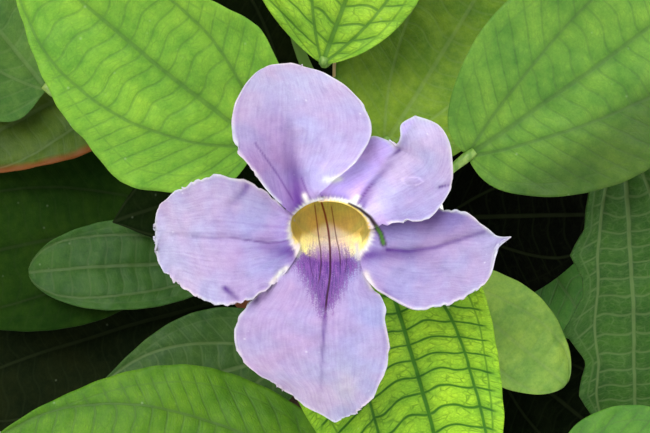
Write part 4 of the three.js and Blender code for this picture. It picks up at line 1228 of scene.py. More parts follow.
def build_leaf_blade(name="leaf_blade", gloss=0.2, roughness=0.55):
    """Green blade with ribs, cross veins and a fine net between them."""
    r = Recipe(name)
    across, along, half = r.parts(r.mark("blade"))
    rib, outer_rib, rusty = r.parts(r.mark("ribs"))
    seed, show, darkness = r.parts(r.mark("trait"))
    side = abs(across)
    place = r.place(across, along, seed * 50.0)
    # The cross veins wander as they do in the blade's relief
    wander = r.calc("SINE", along * 0.16 + seed * 5.0)
    drift = r.noise(place, 0.14, 2) - 0.5
    wander = wander * 0.9 + drift * 1.4
    sway = r.calc("SINE", side * 0.5 + seed * 9.0)
    inner = along - side * 0.12 + sway * 0.7
    outer = along - (side - rib) * 0.55 + 0.5 * RUNG_SPACING
    within = r.calc("LESS_THAN", side, rib)
    choice = outer + within * (inner - outer)
    phase = r.calc("FRACT", (choice + wander) / RUNG_SPACING)
    rung_gap = abs(phase - 0.5) * RUNG_SPACING
    thin = 1.0 - along * 0.008
    rib_gap = abs(side - rib)
    main = r.most(r.line(side, thin * 0.38, 0.5), r.line(rib_gap, thin * 0.22, 0.45))
    halo = r.most(r.line(side, 0.0, 2.6), r.line(rib_gap, 0.0, 2.2))
    edge = half - side
    rung = r.line(rung_gap, 0.1, 0.4) * r.ease(edge, 0.5, 3.0)
    outer_gap = abs(side - outer_rib)
    rung = r.most(rung, r.line(outer_gap, 0.08, 0.4) * 0.7)
    # The net is drawn out between the cross veins, and fades in places
    bent = r.place(across * 0.55 + drift * 3.0, choice * 1.1 + wander, seed * 50.0)
    blotch = r.noise(place, 0.42, 3, 0.65)
    net = r.line(r.cells(bent, 0.62), 0.0, 0.16) * r.ease(blotch, 0.3, 0.65)
    net = r.most(net, r.line(r.cells(bent, 1.7), 0.0, 0.22) * 0.35) * 0.7
    small = r.most(rung, net) * show
    main = main * (show * 0.6 + 0.4)
    vein = r.most(main, small)
    tint = r.mark("tint_colour", "Color")
    cloud = r.noise(place, 0.09, 4, 0.6)
    # Painted light: each cell between the cross veins is lighter towards its middle, where its bulge faces
    # the light
    painted_quilt_light = r.ease(rung_gap, 0.2, 0.5 * RUNG_SPACING) * show
    fresh = cloud * 1.3 + painted_quilt_light * 0.16 + blotch * 0.7 - 0.07
    lively = r.tinted(tint, r.place(fresh ** 1.35, fresh ** 0.8, fresh ** 0.6))
    grain = r.noise(place, 2.2, 3, 0.65)
    lively = r.mix(r.ease(grain, 0.35, 0.8) * 0.3, lively, r.tinted(lively, srgb(176, 190, 160)))
    deep = r.tinted(lively, srgb(104, 146, 140))
    shaded = r.mix(halo * darkness * 0.4, lively, deep)
    vein_colour = r.mix(darkness, r.mix(0.4, lively, srgb(160, 184, 118)), deep)
    colour = r.mix(vein, shaded, vein_colour)
    speck = r.line(r.cells(place, 0.16, "F1"), 0.0, 0.08)
    colour = r.mix(speck * (show * 0.5), colour, srgb(190, 210, 170))
    rust = r.line(edge + drift * 1.5, 0.5, 2.4) * rusty
    colour = r.mix(rust * 0.85, colour, srgb(122, 62, 24))
    normal = r.bump(grain * 0.25 - vein, 0.0003, 0.5)
    return r.finish(colour, normal, glow=0.25, Roughness=roughness, Specular_IOR_Level=gloss)


def build_shaded_blade():
    """The same blade with less sheen, for the leaves deep in the plant painted dark as shade."""
    return build_leaf_blade("shaded_leaf_blade", 0.03, 0.9)


def build_stem_skin():
    """Green stem skin with fine length-wise streaks, paler and redder in places."""
    r = Recipe("stem_skin")
    place = r.object_place((1, 1, 0.35))
    streak = r.noise(place, 900, 3)
    patch = r.noise(r.object_place(), 45, 2)
    colour = r.mix(r.ease(streak, 0.35, 0.7), srgb(96, 140, 52), srgb(140, 176, 84))
    colour = r.mix(r.ease(patch, 0.52, 0.75) * 0.35, colour, srgb(140, 112, 70))
    return r.finish(colour, r.bump(streak, 0.0002, 0.5), glow=0.1, Roughness=0.5)


def build_stamen_tissue():
    """Cream tissue of the stamens and pistil, with a fine powdery grain all over."""
    r = Recipe("stamen_tissue")
    grain = r.noise(r.object_place(), 2600, 3)
    colour = r.mix(grain, srgb(236, 226, 178), srgb(214, 196, 128))
    return r.finish(colour, r.bump(grain, 0.00015, 0.6), glow=0.15, Roughness=0.6)


def build_terracotta():
    """Fired clay: fine grain, throwing rings, and pale lime that creeps from foot and rim."""
    r = Recipe("terracotta_clay")
    place = r.object_place()
    _, _, height = r.parts(place)
    grain = r.noise(place, 900, 4, 0.65)
    cloud = r.noise(place, 22, 4, 0.6)
    rings = r.noise(r.object_place((0.02, 0.02, 1)), 420, 2)
    clay = r.mix(cloud, srgb(176, 98, 62), srgb(204, 128, 88))
    clay = r.mix(r.ease(grain, 0.45, 0.75) * 0.35, clay, srgb(148, 78, 50))
    low = r.line(height - cloud * 0.05, -0.02, 0.05)
    high = r.ease(height + cloud * 0.05, 0.14, 0.185)
    lime = r.most(low, high) * r.ease(r.noise(place, 130, 4, 0.7), 0.4, 0.66)
    clay = r.mix(lime * 0.6, clay, srgb(226, 208, 188))
    normal = r.bump(grain, 0.0003, 0.6, Normal=r.bump(rings, 0.0006, 0.35))
    return r.finish(clay, normal, Roughness=0.88)


def build_potting_soil():
    """Dark crumbs with brown fibre and a few pale grains."""
    r = Recipe("potting_soil")
    place = r.object_place()
    crumb = r.noise(place, 300, 5, 0.7)
    fleck = r.line(r.cells(place, 190, "F1"), 0.0, 0.22)
    colour = r.mix(crumb, srgb(34, 24, 18), srgb(98, 72, 50))
    colour = r.mix(fleck * 0.6, colour, srgb(168, 140, 104))
    return r.finish(colour, r.bump(crumb, 0.0012, 0.9), Roughness=0.95)


def build_bamboo():
    """Dry bamboo: long fibres, darker at its joints."""
    r = Recipe("bamboo_cane")
    place = r.object_place((1, 1, 0.05))
    fibre = r.noise(place, 1300, 3)
    cloud = r.noise(r.object_place((1, 1, 0.4)), 60, 3)
    joint, _, _ = r.parts(r.mark("cane_run"))
    colour = r.mix(fibre, srgb(196, 164, 98), srgb(222, 196, 134))
    colour = r.mix(r.ease(cloud, 0.5, 0.72) * 0.45, colour, srgb(150, 118, 66))
    colour = r.mix(joint * 0.75, colour, srgb(112, 84, 48))
    return r.finish(colour, r.bump(fibre, 0.00025, 0.5), Roughness=0.42)


def build_twine():
    """Jute yarn: twisted plies with stray pale fibres."""
    r = Recipe("jute_twine")
    turn, along, _ = r.parts(r.mark("yarn_run"))
    ply = r.calc("SINE", turn * 3.0 + along * YARN_TWIST)
    fibre = r.noise(r.place(turn + along * 0.9, along, 0.0), 5.0, 3)
    colour = r.mix(r.ease(ply, -1.0, 0.6), srgb(104, 78, 46), srgb(186, 156, 110))
    colour = r.mix(fibre * 0.4, colour, srgb(214, 188, 146))
    return r.finish(colour, r.bump(ply + fibre, 0.0004, 0.7), Roughness=0.92)


MATERIALS = {}
BUILDERS = {
    "petal": build_petal_tissue, "throat": build_throat_tissue, "leaf": build_leaf_blade,
    "deep_leaf": build_shaded_blade, "stem": build_stem_skin,
    "stamen": build_stamen_tissue, "clay": build_terracotta, "soil": build_potting_soil,
    "bamboo": build_bamboo, "twine": build_twine,
}


def material(name):
    """A material of the part, made when it is first asked for."""
    if name not in MATERIALS:
        MATERIALS[name] = BUILDERS[name]()
    return MATERIALS[name]


# Settings

class VinePotSettings(bpy.types.PropertyGroup):
    """Sizes of the pot and what fills it"""

    lip_round: FloatProperty(
        name="Lip rounding", description="Radius of the rounded edges of the pot's lip",
        default=0.0024, min=0.0005, max=0.004, unit="LENGTH")
    crumb_height: FloatProperty(
        name="Crumb height", description="How far soil crumbs stand out of the soil",
        default=0.0026, min=0.0, max=0.005, unit="LENGTH")
    joint_spacing: FloatProperty(
        name="Cane joint spacing", description="Distance between the joints of the bamboo canes",
        default=0.078, min=0.03, max=0.2, unit="LENGTH")


class VineFoliageSettings(bpy.types.PropertyGroup):
    """How finely the leaves are made"""

    near_rows: IntProperty(
        name="Near leaf rows", description="Rows of faces along each leaf beside the flower",
        default=84, min=20, max=160)
    far_rows: IntProperty(
        name="Far leaf rows", description="Rows of faces along each other leaf",
        default=40, min=10, max=80)
    blade_thickness: FloatProperty(
        name="Blade thickness", description="Thickness of a leaf blade",
        default=0.00045, min=0.0002, max=0.0008, unit="LENGTH")


class VineFlowerSettings(bpy.types.PropertyGroup):
    """How finely the flower is made"""

    lobe_rows: IntProperty(
        name="Lobe rows", description="Rows of faces from the throat to a lobe's tip",
        default=92, min=20, max=120)
    lobe_columns: IntProperty(
        name="Lobe columns", description="Faces across a lobe",
        default=78, min=20, max=100)
    petal_thickness: FloatProperty(
        name="Petal thickness", description="Thickness of a petal lobe",
        default=0.00045, min=0.0002, max=0.0008, unit="LENGTH")


class VineStageSettings(bpy.types.PropertyGroup):
    """Floor, light and camera"""

    floor_colour: FloatVectorProperty(
        name="Floor colour", description="Colour of the plain floor", subtype="COLOR",
        size=3, default=(0.8, 0.79, 0.77), min=0, max=1)
    key_power: FloatProperty(
        name="Key light", description="Power of the large soft light over the plant",
        default=34.0, min=0, max=500, unit="POWER")
    throat_power: FloatProperty(
        name="Throat light", description="Power of the narrow light on the flower's throat",
        default=13.0, min=0, max=100, unit="POWER")
    fill_strength: FloatProperty(
        name="Sky strength", description="Strength of the even light from all round",
        default=0.5, min=0, max=3)


# Right, up and forward of the flower's centre, in millimetres
CAMERA_PLACE = [-1.3, 3.5, 408]
THROAT_LAMP = [0.4, -6, 380]
THROAT_AIM = [0.4, 4.0, -8]
THROAT_BEAM = 0.052
# The rest of the stage, in metres
PLANT_MIDDLE = (0.0, -0.05, 0.25)
FLOOR_HALF_WIDTH = 12
FLOOR_HEIGHT = -0.0005
FLOOR_WASH = (0.7, 0.7, 0.68)
# Soft lamps: name, place, width and share of the key light's power
SOFT_LAMPS = [
    ("key", (-0.55, -1.1, 1.5), 1.1, 1.0),
    ("top", (0.3, 0.3, 1.7), 1.2, 0.8),
    ("side", (1.3, -0.5, 0.7), 0.9, 0.25),
]
SETTINGS = {
    "vine_pot": VinePotSettings, "vine_foliage": VineFoliageSettings,
    "vine_flower": VineFlowerSettings, "vine_stage": VineStageSettings,
}


# Pieces

class VINE_OT_stage(bpy.types.Operator):
    """Sets the floor, the soft lights and the camera"""

    bl_idname = "vine.stage"
    bl_label = "Stage"

    def execute(self, context):
        settings = context.scene.vine_stage
        self.set_camera(context)
        self.lay_floor(context, tuple(settings.floor_colour))
        for name, spot, width, share in SOFT_LAMPS:
            lamp = bpy.data.lights.new(name, "AREA")
            lamp.size = width
            lamp.energy = share * settings.key_power
            self.hang(context, lamp, spot, PLANT_MIDDLE)
        # A narrow lamp in front lights the throat
        lamp = bpy.data.lights.new("throat", "SPOT")
        lamp.energy = settings.throat_power
        lamp.spot_size = THROAT_BEAM
        lamp.spot_blend = 1.0
        lamp.shadow_soft_size = 0.01
        self.hang(context, lamp, at_face(THROAT_LAMP) * MM, at_face(THROAT_AIM) * MM)
        world = bpy.data.worlds.new("studio")
        world.use_nodes = True
        background = world.node_tree.nodes["Background"]
        background.inputs["Color"].default_value = (1.0, 0.99, 0.95, 1)
        background.inputs["Strength"].default_value = settings.fill_strength
        context.scene.world = world
        context.scene.view_settings.view_transform = "Standard"
        return {"FINISHED"}

    def set_camera(self, context):
        camera = bpy.data.objects.new("camera", bpy.data.cameras.new("camera"))
        camera.data.lens = 100
        camera.data.sensor_width = 36
        camera.data.clip_start = 0.01
        self.turn_to(camera, at_face(CAMERA_PLACE) * MM, [FACE_RIGHT, FACE_UP, FACE_OUT])
        context.scene.collection.objects.link(camera)
        context.scene.camera = camera

    def lay_floor(self, context, colour):
        mesh = bpy.data.meshes.new("floor")
        corners = [(x * FLOOR_HALF_WIDTH, y * FLOOR_HALF_WIDTH, FLOOR_HEIGHT)
                   for x, y in ((-1, -1), (1, -1), (1, 1), (-1, 1))]
        mesh.from_pydata(corners, [], [[0, 1, 2, 3]])
        r = Recipe("floor_paint")
        wash = r.noise(r.object_place(), 3, 2)
        mesh.materials.append(r.finish(r.mix(wash * 0.06, colour, FLOOR_WASH), Roughness=0.85))
        ground = bpy.data.objects.new("floor", mesh)
        context.scene.collection.objects.link(ground)

    def hang(self, context, lamp, spot, aim):
        """Puts a lamp at a spot, aimed at another."""
        holder = bpy.data.objects.new(lamp.name, lamp)
        out = unit(np.array(spot) - np.array(aim))
        right = unit(np.cross([0, 0, 1], out))
        self.turn_to(holder, spot, [right, np.cross(out, right), out])
        context.scene.collection.objects.link(holder)

    def turn_to(self, holder, spot, axes):
        turn = np.column_stack(axes)
        holder.matrix_world = Matrix.Translation(spot) @ Matrix(turn.tolist()).to_4x4()


class VINE_OT_corolla(bpy.types.Operator):
    """Makes the flower's lobes, throat and tube"""

    bl_idname = "vine.corolla"
    bl_label = "Corolla"

    def execute(self, context):
        settings = context.scene.vine_flower
        body = Body()
        for seed, (lobe, knots) in enumerate(LOBES.items()):
            self.add_lobe(body, lobe, knots, seed, settings)
        body.piece("corolla_fine", material("petal"), "petal", ["corolla"])
        throat = Body()
        self.add_throat(throat)
        throat.piece("throat_fine", material("throat"), "petal", ["corolla"])
        return {"FINISHED"}

    def add_lobe(self, body, lobe, knots, seed, settings):
        columns = settings.lobe_columns
        lip_rows, lip_depth, lip_end = LIPS[lobe]
        grid, s, t = lobe_surface(knots, settings.lobe_rows, columns, lip_rows, lip_depth, lip_end)
        outline = np.vstack([grid[:, 0], grid[-1], grid[::-1, -1]])
        edge, _ = line_distance(grid.reshape(-1, 3), outline)
        reach = np.repeat(t, columns)
        edge = np.where(reach < 0.02, FAR, edge)
        grid = crinkle(grid, edge, 1.7 * seed + 0.4, smoothstep(lip_end, lip_end + 0.12, reach))
        a, b = grid[..., 0], grid[..., 1]
        drop = drop_share(a, b)
        if lobe == "upper_right":
            grid[..., 2] += 0.55 * np.sqrt(np.clip(1 - drop ** 2, 0, 1))
        if lobe == "upper":
            fold = a + 8.8 + 0.1 * (b - 10)
            grid[..., 2] -= 0.7 * np.exp(-(fold / 1.4) ** 2) * smoothstep(30, 8, b)
        flat = grid.reshape(-1, 3)
        colour = petal_colours(flat, lobe, edge, 1.3 * seed)
        # A painted highlight round the rim of the drop
        if lobe == "upper_right":
            ring = (smoothstep(0.7, 1.0, drop) * smoothstep(1.25, 1.0, drop)).ravel()
            colour = toned(colour, srgb(228, 216, 252), 0.45 * ring)
        back_colour = toned(colour, srgb(226, 220, 240), 0.35)
        widths = np.linalg.norm(np.diff(grid, axis=1), axis=2).sum(1)
        run = np.stack([(s[None, :] - 0.5) * np.minimum(widths[:, None], RUN_WIDTH),
                        np.repeat(lengths_along(grid[:, columns // 2])[:, None], columns, 1),
                        np.full(grid.shape[:2], float(seed))], -1).reshape(-1, 3)
        nerve = np.zeros((len(flat), 3))
        nerve[:, 1] = -FAR
        if lobe == "lower":
            nerve[:, 0] = 1
            nerve[:, 1] = patch_depth(flat[:, :2])
        points, faces = leaf_like(grid, grid - grid_normals(grid) * settings.petal_thickness / MM)
        body.add(at_face(points), faces, petal_colour=np.vstack([colour, back_colour]),
                 petal_run=np.vstack([run, run]), face_place=np.vstack([flat, flat]),
                 nerve_share=np.vstack([nerve, nerve]))

    def add_throat(self, body):
        columns, inner_rows, outer_rows = 190, 48, 24
        phi = 2 * math.pi * np.arange(columns) / columns
        turns = -math.pi / 2 + phi - 0.55 * np.sin(phi)
        front = -2.8 - 6.8 * smoothstep(0.58, 0.72, -np.sin(turns))
        rings = [tube_point(turns, front - (TUBE_DEPTH + front) * share)
                 for share in np.linspace(0, 1, inner_rows) ** 1.1]
        rings += [tube_point(turns, front - (TUBE_DEPTH + front) * share, TUBE_WALL)
                  for share in np.linspace(1, 0, outer_rows)]
        rows = len(rings)
        faces = grid_faces(rows, columns, closed=True)
        last = (rows - 1) * columns
        faces += [[last + i, last + (i + 1) % columns, (i + 1) % columns, i] for i in range(columns)]
        flat = np.array(rings).reshape(-1, 3)
        a, b, c = flat.T
        colour = petal_colours(flat, "throat", np.full(len(flat), FAR), 0.0)
        deep = np.maximum(smoothstep(0.96, 1.02, mouth_share(a, b)), smoothstep(-20, -30, c))
        colour = toned(colour, srgb(236, 214, 96), deep)
        outside = np.repeat(np.arange(rows) >= inner_rows, columns).astype(float)
        skin = np.tile(srgb(206, 190, 232), (len(flat), 1))
        skin = toned(skin, srgb(238, 234, 226), smoothstep(0.2, 0.75, np.clip(-c / TUBE_DEPTH, 0, 1)))
        colour = colour + (skin - colour) * outside[:, None]
        run = np.stack([np.tile(turns * 8, rows), -c, np.full(len(flat), 7.0)], 1)
        below = np.tile(smoothstep(0.25, -0.1, np.sin(turns)), rows)
        patch = np.where(outside > 0, -FAR, patch_depth(flat[:, :2]))
        nerve = np.stack([below * (1 - outside), patch, 0 * below], 1)
        body.add(at_face(flat), faces, petal_colour=colour, petal_run=run, face_place=flat,
                 nerve_share=nerve)


class VINE_OT_throat_parts(bpy.types.Operator):
    """Makes the stamens and the pistil inside the throat"""

    bl_idname = "vine.throat_parts"
    bl_label = "Stamens and pistil"

    def execute(self, context):
        self.make_stamens()
        self.make_pistil()
        return {"FINISHED"}

    def make_stamens(self):
        body = Body()
        steps, sides = STAMEN_RING_STEPS, STAMEN_RING_SIDES
        turns = np.linspace(0, 2 * math.pi, steps + 1)[:-1, None]
        middle = on_axis(STAMEN_FOOT)
        ring = middle + (np.cos(turns) * FACE_RIGHT + np.sin(turns) * FACE_UP) * STAMEN_RING_RADIUS
        tube = (2 * math.pi * np.arange(sides) / sides)[None, :, None]
        points = ring[:, None] + 0.45 * (np.cos(tube) * unit(ring - middle)[:, None]
                                         + np.sin(tube) * FACE_OUT)
        body.add(points, [[i % (steps * sides) for i in face]
                          for face in grid_faces(steps + 1, sides, closed=True)])
        t = np.linspace(0, 1, 40)
        # Filaments with a swollen, ribbed anther at the end
        radii = np.interp(t * 6, range(7), [0.45, 0.4, 0.4, 0.4, 1, 1.1, 0.5])
        radii = radii * (1 + 0.12 * np.sin(60 * t) * (t > 0.6))
        spread = 2.3 + 1.6 * t
        for degrees in (30, 75, 105, 150):
            side = math.radians(degrees)
            path = on_axis(STAMEN_FOOT + STAMEN_LENGTH * t, 1.15 * spread * math.cos(side),
                           spread * math.sin(side))
            body.add(*sweep(path, radii, 12))
        body.piece("stamens_fine", material("stamen"), "stamen_cream", ["stamens"])

    def make_pistil(self):
        t = np.linspace(0, 1, 60)
        path = on_axis(RECEPTACLE_TOP + 1 + PISTIL_LENGTH * t, 0.0, 3.2 * t * t)
        radii = np.interp(t, [0, 0.08, 0.2, 0.5, 0.88, 0.95, 1], [1.5, 1.7, 0.5, 0.45, 0.45, 1, 0.8])
        points, faces = sweep(path, radii, 14)
        make_piece("pistil_fine", points, faces, material("stamen"), ["pistil"])


class VINE_OT_flower_stalk(bpy.types.Operator):
    """Makes the stalk, receptacle and two bracts behind the flower"""

    bl_idname = "vine.flower_stalk"
    bl_label = "Flower stalk"

    def execute(self, context):
        body = Body()
        # Stalk and receptacle bear the leaves' marks without ribs or veins
        plain = dict(blade=(9, 9, 9), ribs=(3, 6, 0), trait=(0, 0, 0))
        knots = [(-6, -38, 301), (-12, -44, 305), (-14, -49, 298), (-11, -51, 285), (-6, -51, 274),
                 (-4, -56, 270), on_axis(RECEPTACLE_TOP - 1.8)]
        t = np.linspace(0, 1, 90)
        stalk = sweep(spline(knots, t), 1.2 + 0.8 * t * t, 12)
        body.add(*stalk, tint_colour=srgb(112, 150, 66), **plain)
        t = np.linspace(0, 1, 16)
        radii = 5.6 * (0.8 + 0.2 * t) * np.minimum(1, 0.55 + 3 * np.minimum(t, 1 - t))
        receptacle = sweep(on_axis(RECEPTACLE_TOP - 3 + 3 * t), radii, 28)
        body.add(*receptacle, tint_colour=srgb(150, 180, 104), **plain)
        for side in (1, -1):
            bract = make_leaf(on_axis(RECEPTACLE_TOP - 1.5, 0, side * 5),
                              on_axis(RECEPTACLE_TOP + 27, 0, side * 12), face_direction([0, side, 0]), 17,
                              fold=-24, arch=0.1, heart=0, wave=0, round=0.45, taper=0.8)
            bract.update(tint=srgb(140, 176, 92), veins=0.35, darkness=0.6)
            points, faces, marks = fine_blade(bract, 50, 34, 0.3 + 0.1 * side)
            body.add(points, faces, **marks)
        body.piece("flower_stalk_fine", material("leaf"), "calyx_green", ["flower_stalk"])
        return {"FINISHED"}


class VINE_OT_foliage(bpy.types.Operator):
    """Makes the four shoots with their petioles and all leaves"""

    bl_idname = "vine.foliage"
    bl_label = "Foliage"

    def execute(self, context):
        settings = context.scene.vine_foliage
        leaves = place_leaves()
        thickness = settings.blade_thickness / MM
        seeds = np.random.default_rng(BLADE_SEED).random(len(leaves))
        bodies = {}
        for k, (leaf, _, shoot) in enumerate(leaves):
            rows, share = settings.far_rows, FAR_COLUMN_SHARE
            place = "far"
            if leaf["near"]:
                rows, share = settings.near_rows, NEAR_COLUMN_SHARE
                place = "deep" if leaf["deep"] else f"near_{k // LEAVES_A_PIECE + 1}"
            points, faces, marks = fine_blade(leaf, rows, int(rows * share), seeds[k], thickness)
            body = bodies.setdefault((shoot, place), Body())
            body.add(points, faces, **marks)
        for (shoot, place), body in bodies.items():
            look = material("deep_leaf" if place == "deep" else "leaf")
            body.piece(f"leaves_{shoot + 1}_{place}", look, "foliage", [f"shoot_{shoot + 1}"])
        for shoot, route in enumerate(shoot_routes(150)):
            self.make_stems(shoot, route, leaves, thickness)
        return {"FINISHED"}

    def make_stems(self, shoot, route, leaves, thickness):
        body = Body()
        share = np.linspace(0, 1, len(route))
        body.add(*sweep(route, STEM_RADIUS * (1 - 0.45 * share), 10))
        for leaf, start, owner in leaves:
            if owner == shoot:
                path = petiole_points(leaf, start, 16, thickness)
                t = np.linspace(0, 1, len(path))
                swollen = 1 + 0.35 * np.exp(-((t - 0.94) / 0.07) ** 2) + 0.4 * np.exp(-(t / 0.08) ** 2)
                body.add(*sweep(path, PETIOLE_RADIUS * swollen, 8))
        body.piece(f"stems_{shoot + 1}", material("stem"), "foliage", [f"shoot_{shoot + 1}"])


class VINE_OT_support(bpy.types.Operator):
    """Makes the bamboo canes and the twine that ties them"""

    bl_idname = "vine.support"
    bl_label = "Canes and tie"

    def execute(self, context):
        spacing = context.scene.vine_pot.joint_spacing / MM
        for k, azimuth in enumerate(CANE_AZIMUTHS):
            self.make_cane(k, azimuth, spacing)
        self.make_tie()
        return {"FINISHED"}

    def make_cane(self, k, azimuth, spacing):
        heights = np.linspace(SOIL_TOP - CANE_DEPTH, TIE_HEIGHT + CANE_ABOVE_TIE, 240)
        path = np.array([cane_at(azimuth, z) for z in heights])
        offset = (heights + 17 * k) % spacing
        gap = np.minimum(offset, spacing - offset)
        radii = CANE_RADIUS * (0.95 + 0.05 * np.exp(-(gap / 2.2) ** 2)
                               - 0.05 * np.exp(-((gap - 2) / 0.8) ** 2))
        radii[[0, -1]] *= 0.9
        points, faces = sweep(path, radii, CANE_SIDES)
        joint = np.repeat(np.exp(-(gap / 1.1) ** 2), CANE_SIDES)
        make_piece(f"cane_{k + 1}_fine", points, faces, material("bamboo"), [f"cane_{k + 1}"],
                   dict(cane_run=np.stack([joint, joint, joint], 1)))

    def make_tie(self):
        body = Body()
        lowest = TIE_HEIGHT - TIE_TURNS * TIE_CORD / 2
        radius = abs(cane_at(0, lowest)[0]) + CANE_RADIUS + 0.3 + 0.55 * TIE_CORD
        turn = np.linspace(0, 2 * math.pi * TIE_TURNS, 300)
        height = TIE_HEIGHT + TIE_CORD * (turn / (2 * math.pi) - TIE_TURNS / 2) * 0.72
        reach = radius + 0.25 * np.sin(3 * turn)
        around = turn + TIE_KNOT_TURN
        self.add_yarn(body, np.stack([reach * np.cos(around), reach * np.sin(around), height], 1))
        knot = np.array([math.cos(TIE_KNOT_TURN), math.sin(TIE_KNOT_TURN), 0]) * (radius + 0.7 * TIE_CORD)
        bow = [knot + [1.7 * math.sin(t), 0.5 * math.cos(2 * t), TIE_HEIGHT + 1.7 * math.sin(2 * t)]
               for t in np.linspace(0, 2 * math.pi, 60)]
        self.add_yarn(body, bow, 0.42)
        for side in (-1, 1):
            tail = [knot + [side * (0.8 + 2.2 * t), -0.9 * t, TIE_HEIGHT - 1 - 13 * t + 3 * t * t]
                    for t in np.linspace(0, 1, 40)]
            self.add_yarn(body, tail, 0.36)
        body.piece("tie_fine", material("twine"), "twine", ["tie"])

    def add_yarn(self, body, path, share=0.5):
        """Twisted yarn along a path, its radius a share of the cord's width."""
        path = np.asarray(path, float)
        points, faces = sweep(path, share * TIE_CORD, YARN_SIDES)
        around = np.tile(2 * math.pi * np.arange(YARN_SIDES) / YARN_SIDES, len(path))
        along = np.repeat(lengths_along(path), YARN_SIDES)
        centre = np.repeat(path, YARN_SIDES, axis=0)
        ply = 1 + 0.13 * np.sin(3 * around + YARN_TWIST * along)
        run = np.stack([around, along, 0 * along], 1)
        body.add(centre + (points - centre) * ply[:, None], faces, yarn_run=run)


class VINE_OT_pot(bpy.types.Operator):
    """Makes the terracotta pot and the soil in it"""

    bl_idname = "vine.pot"
    bl_label = "Pot and soil"

    def execute(self, context):
        settings = context.scene.vine_pot
        self.make_pot(settings.lip_round / MM)
        self.make_soil(settings.crumb_height / MM)
        return {"FINISHED"}

    def wall(self, z):
        return POT_FOOT_RADIUS + (POT_TOP_RADIUS - POT_FOOT_RADIUS) * z / POT_HEIGHT

    def make_pot(self, lip):
        collar_foot = POT_HEIGHT - COLLAR_HEIGHT
        # From the axis under the floor, up outside and down inside: radius, height, rounding
        corners = [
            (0, 0, 0),
            (DRAIN_CIRCLE - 2 * DRAIN_RADIUS, 0, 0),
            (POT_FOOT_RADIUS - 2, 0, 1.5),
            (POT_FOOT_RADIUS, 2, 1),
            (self.wall(collar_foot), collar_foot, 1.6),
            (self.wall(collar_foot) + COLLAR_PROUD, collar_foot + 2, 1.4),
            (POT_TOP_RADIUS + COLLAR_PROUD, POT_HEIGHT - 1.5, lip),
            (POT_TOP_RADIUS - POT_WALL + 0.5, POT_HEIGHT, lip),
            (POT_TOP_RADIUS - POT_WALL, POT_HEIGHT - 3, 0.8),
            (self.wall(POT_WALL) - POT_WALL, POT_WALL, 3),
            (0, POT_WALL, 0),
        ]
        profile = [(radius + 0.18 * math.sin(1.9 * z) * (RINGS_FROM < radius), z)
                   for radius, z in rounded(corners)]
        points, faces = turned(profile, 160)
        pot = make_piece("pot_fine", points, faces, material("clay"), ["pot"])
        bpy.context.view_layer.objects.active = pot
        for k in range(DRAIN_HOLES):
            self.drill(pot, 2 * math.pi * k / DRAIN_HOLES)

    def drill(self, pot, turn):
        """Cuts one drain hole through the floor."""
        foot = np.array([DRAIN_CIRCLE * math.cos(turn), DRAIN_CIRCLE * math.sin(turn), -5.0])
        points, faces = sweep([foot, foot + [0, 0, POT_WALL + 10]], DRAIN_RADIUS, 40)
        mesh = bpy.data.meshes.new("drill")
        mesh.from_pydata((points * MM).tolist(), [], faces)
        bit = bpy.data.objects.new("drill", mesh)
        bpy.context.scene.collection.objects.link(bit)
        cut = pot.modifiers.new("drain", "BOOLEAN")
        cut.operation = "DIFFERENCE"
        cut.object = bit
        bpy.ops.object.modifier_apply(modifier=cut.name)
        bpy.data.objects.remove(bit)

    def make_soil(self, crumb):
        random = np.random.default_rng(CRUMB_SEED)
        rim = self.wall(SOIL_TOP) - POT_WALL - SOIL_SIDE_GAP
        foot = POT_WALL + SOIL_FOOT_GAP
        crest = SOIL_TOP + SOIL_MOUND
        profile = [(0, foot), (self.wall(foot) - POT_WALL - SOIL_SIDE_GAP, foot), (rim, SOIL_EDGE)]
        for reach in rim * np.linspace(1, 0.012, 88)[1:]:
            profile.append((reach, np.interp(reach, [0, 0.3 * rim, 0.72 * rim, rim],
                                             [crest, crest, SOIL_TOP, SOIL_EDGE])))
        points, faces = turned([*profile, (0, crest)], 300)
        x, y = points[:, 0], points[:, 1]
        lumps = np.zeros(len(points))
        for _ in range(CRUMBS):
            reach = rim * math.sqrt(random.random())
            turn = 2 * math.pi * random.random()
            size = 1.0 + 2.4 * random.random() ** 2
            gap = np.hypot(x - reach * math.cos(turn), y - reach * math.sin(turn))
            lumps = np.maximum(lumps, (size / 3.4) * np.sqrt(np.clip(1 - (gap / size) ** 2, 0, 1)))
        rise = crumb * lumps + 0.25 * random.random(len(points))
        rise = np.where(points[:, 2] > SOIL_EDGE - 0.5, rise, 0)
        points[:, 2] += rise * np.clip((rim - np.hypot(x, y)) / 1.5, 0, 1)
        make_piece("soil_fine", points, faces, material("soil"), ["soil"])


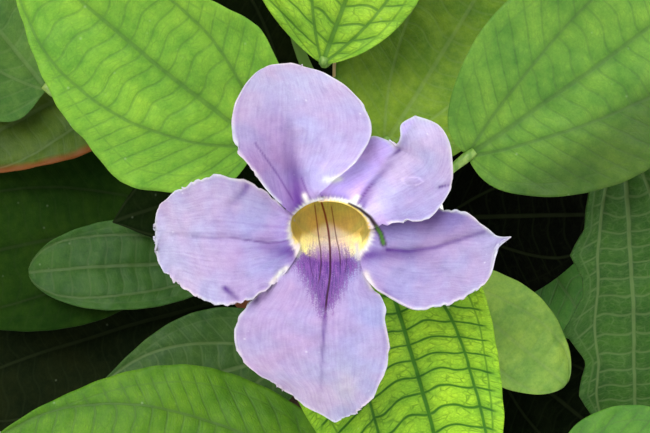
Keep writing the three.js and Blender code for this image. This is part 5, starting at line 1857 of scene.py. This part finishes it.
def rounded(corners, steps=6):
    """A profile with each corner rounded to its radius, and more rows along the wall."""
    profile = [corners[0][:2]]
    for before, corner, after in zip(corners, corners[1:], corners[2:]):
        before, here, after = (np.array(spot[:2], float) for spot in (before, corner, after))
        cut = corner[2]
        start = here + unit(before - here) * min(cut, 0.45 * np.linalg.norm(before - here))
        end = here + unit(after - here) * min(cut, 0.45 * np.linalg.norm(after - here))
        for t in np.linspace(0, 1, steps if cut else 1):
            profile.append((1 - t) ** 2 * start + 2 * t * (1 - t) * here + t * t * end)
        count = int(np.linalg.norm(after - here) // 4)
        if count > 1 and here[0] > RINGS_FROM and after[0] > RINGS_FROM:
            for t in np.arange(1, count) / count:
                profile.append(end + (after - end) * t)
    return [*profile, corners[-1][:2]]


class VINE_PT_panel(bpy.types.Panel):
    """Buttons for the pieces of the potted vine"""

    bl_idname = "VINE_PT_panel"
    bl_label = "Clock Vine"
    bl_space_type = "VIEW_3D"
    bl_region_type = "UI"
    bl_category = "Clock Vine"

    def draw(self, context):
        for operator in OPERATORS:
            self.layout.operator(operator.bl_idname)
        for key in SETTINGS:
            settings = getattr(context.scene, key)
            for name in settings.bl_rna.properties.keys():
                if name not in ("rna_type", "name"):
                    self.layout.prop(settings, name)


OPERATORS = [
    VINE_OT_stage, VINE_OT_corolla, VINE_OT_throat_parts, VINE_OT_flower_stalk, VINE_OT_foliage,
    VINE_OT_support, VINE_OT_pot,
]


def register():
    for made in [*SETTINGS.values(), *OPERATORS, VINE_PT_panel]:
        bpy.utils.register_class(made)
    for key, made in SETTINGS.items():
        setattr(bpy.types.Scene, key, PointerProperty(type=made))


def unregister():
    for key in SETTINGS:
        delattr(bpy.types.Scene, key)
    for made in reversed([*SETTINGS.values(), *OPERATORS, VINE_PT_panel]):
        bpy.utils.unregister_class(made)


def main():
    register()
    bpy.ops.vine.stage()
    bpy.ops.vine.corolla()
    bpy.ops.vine.throat_parts()
    bpy.ops.vine.flower_stalk()
    bpy.ops.vine.foliage()
    bpy.ops.vine.support()
    bpy.ops.vine.pot()
    bpy.context.view_layer.update()


if __name__ == "__main__":
    main()
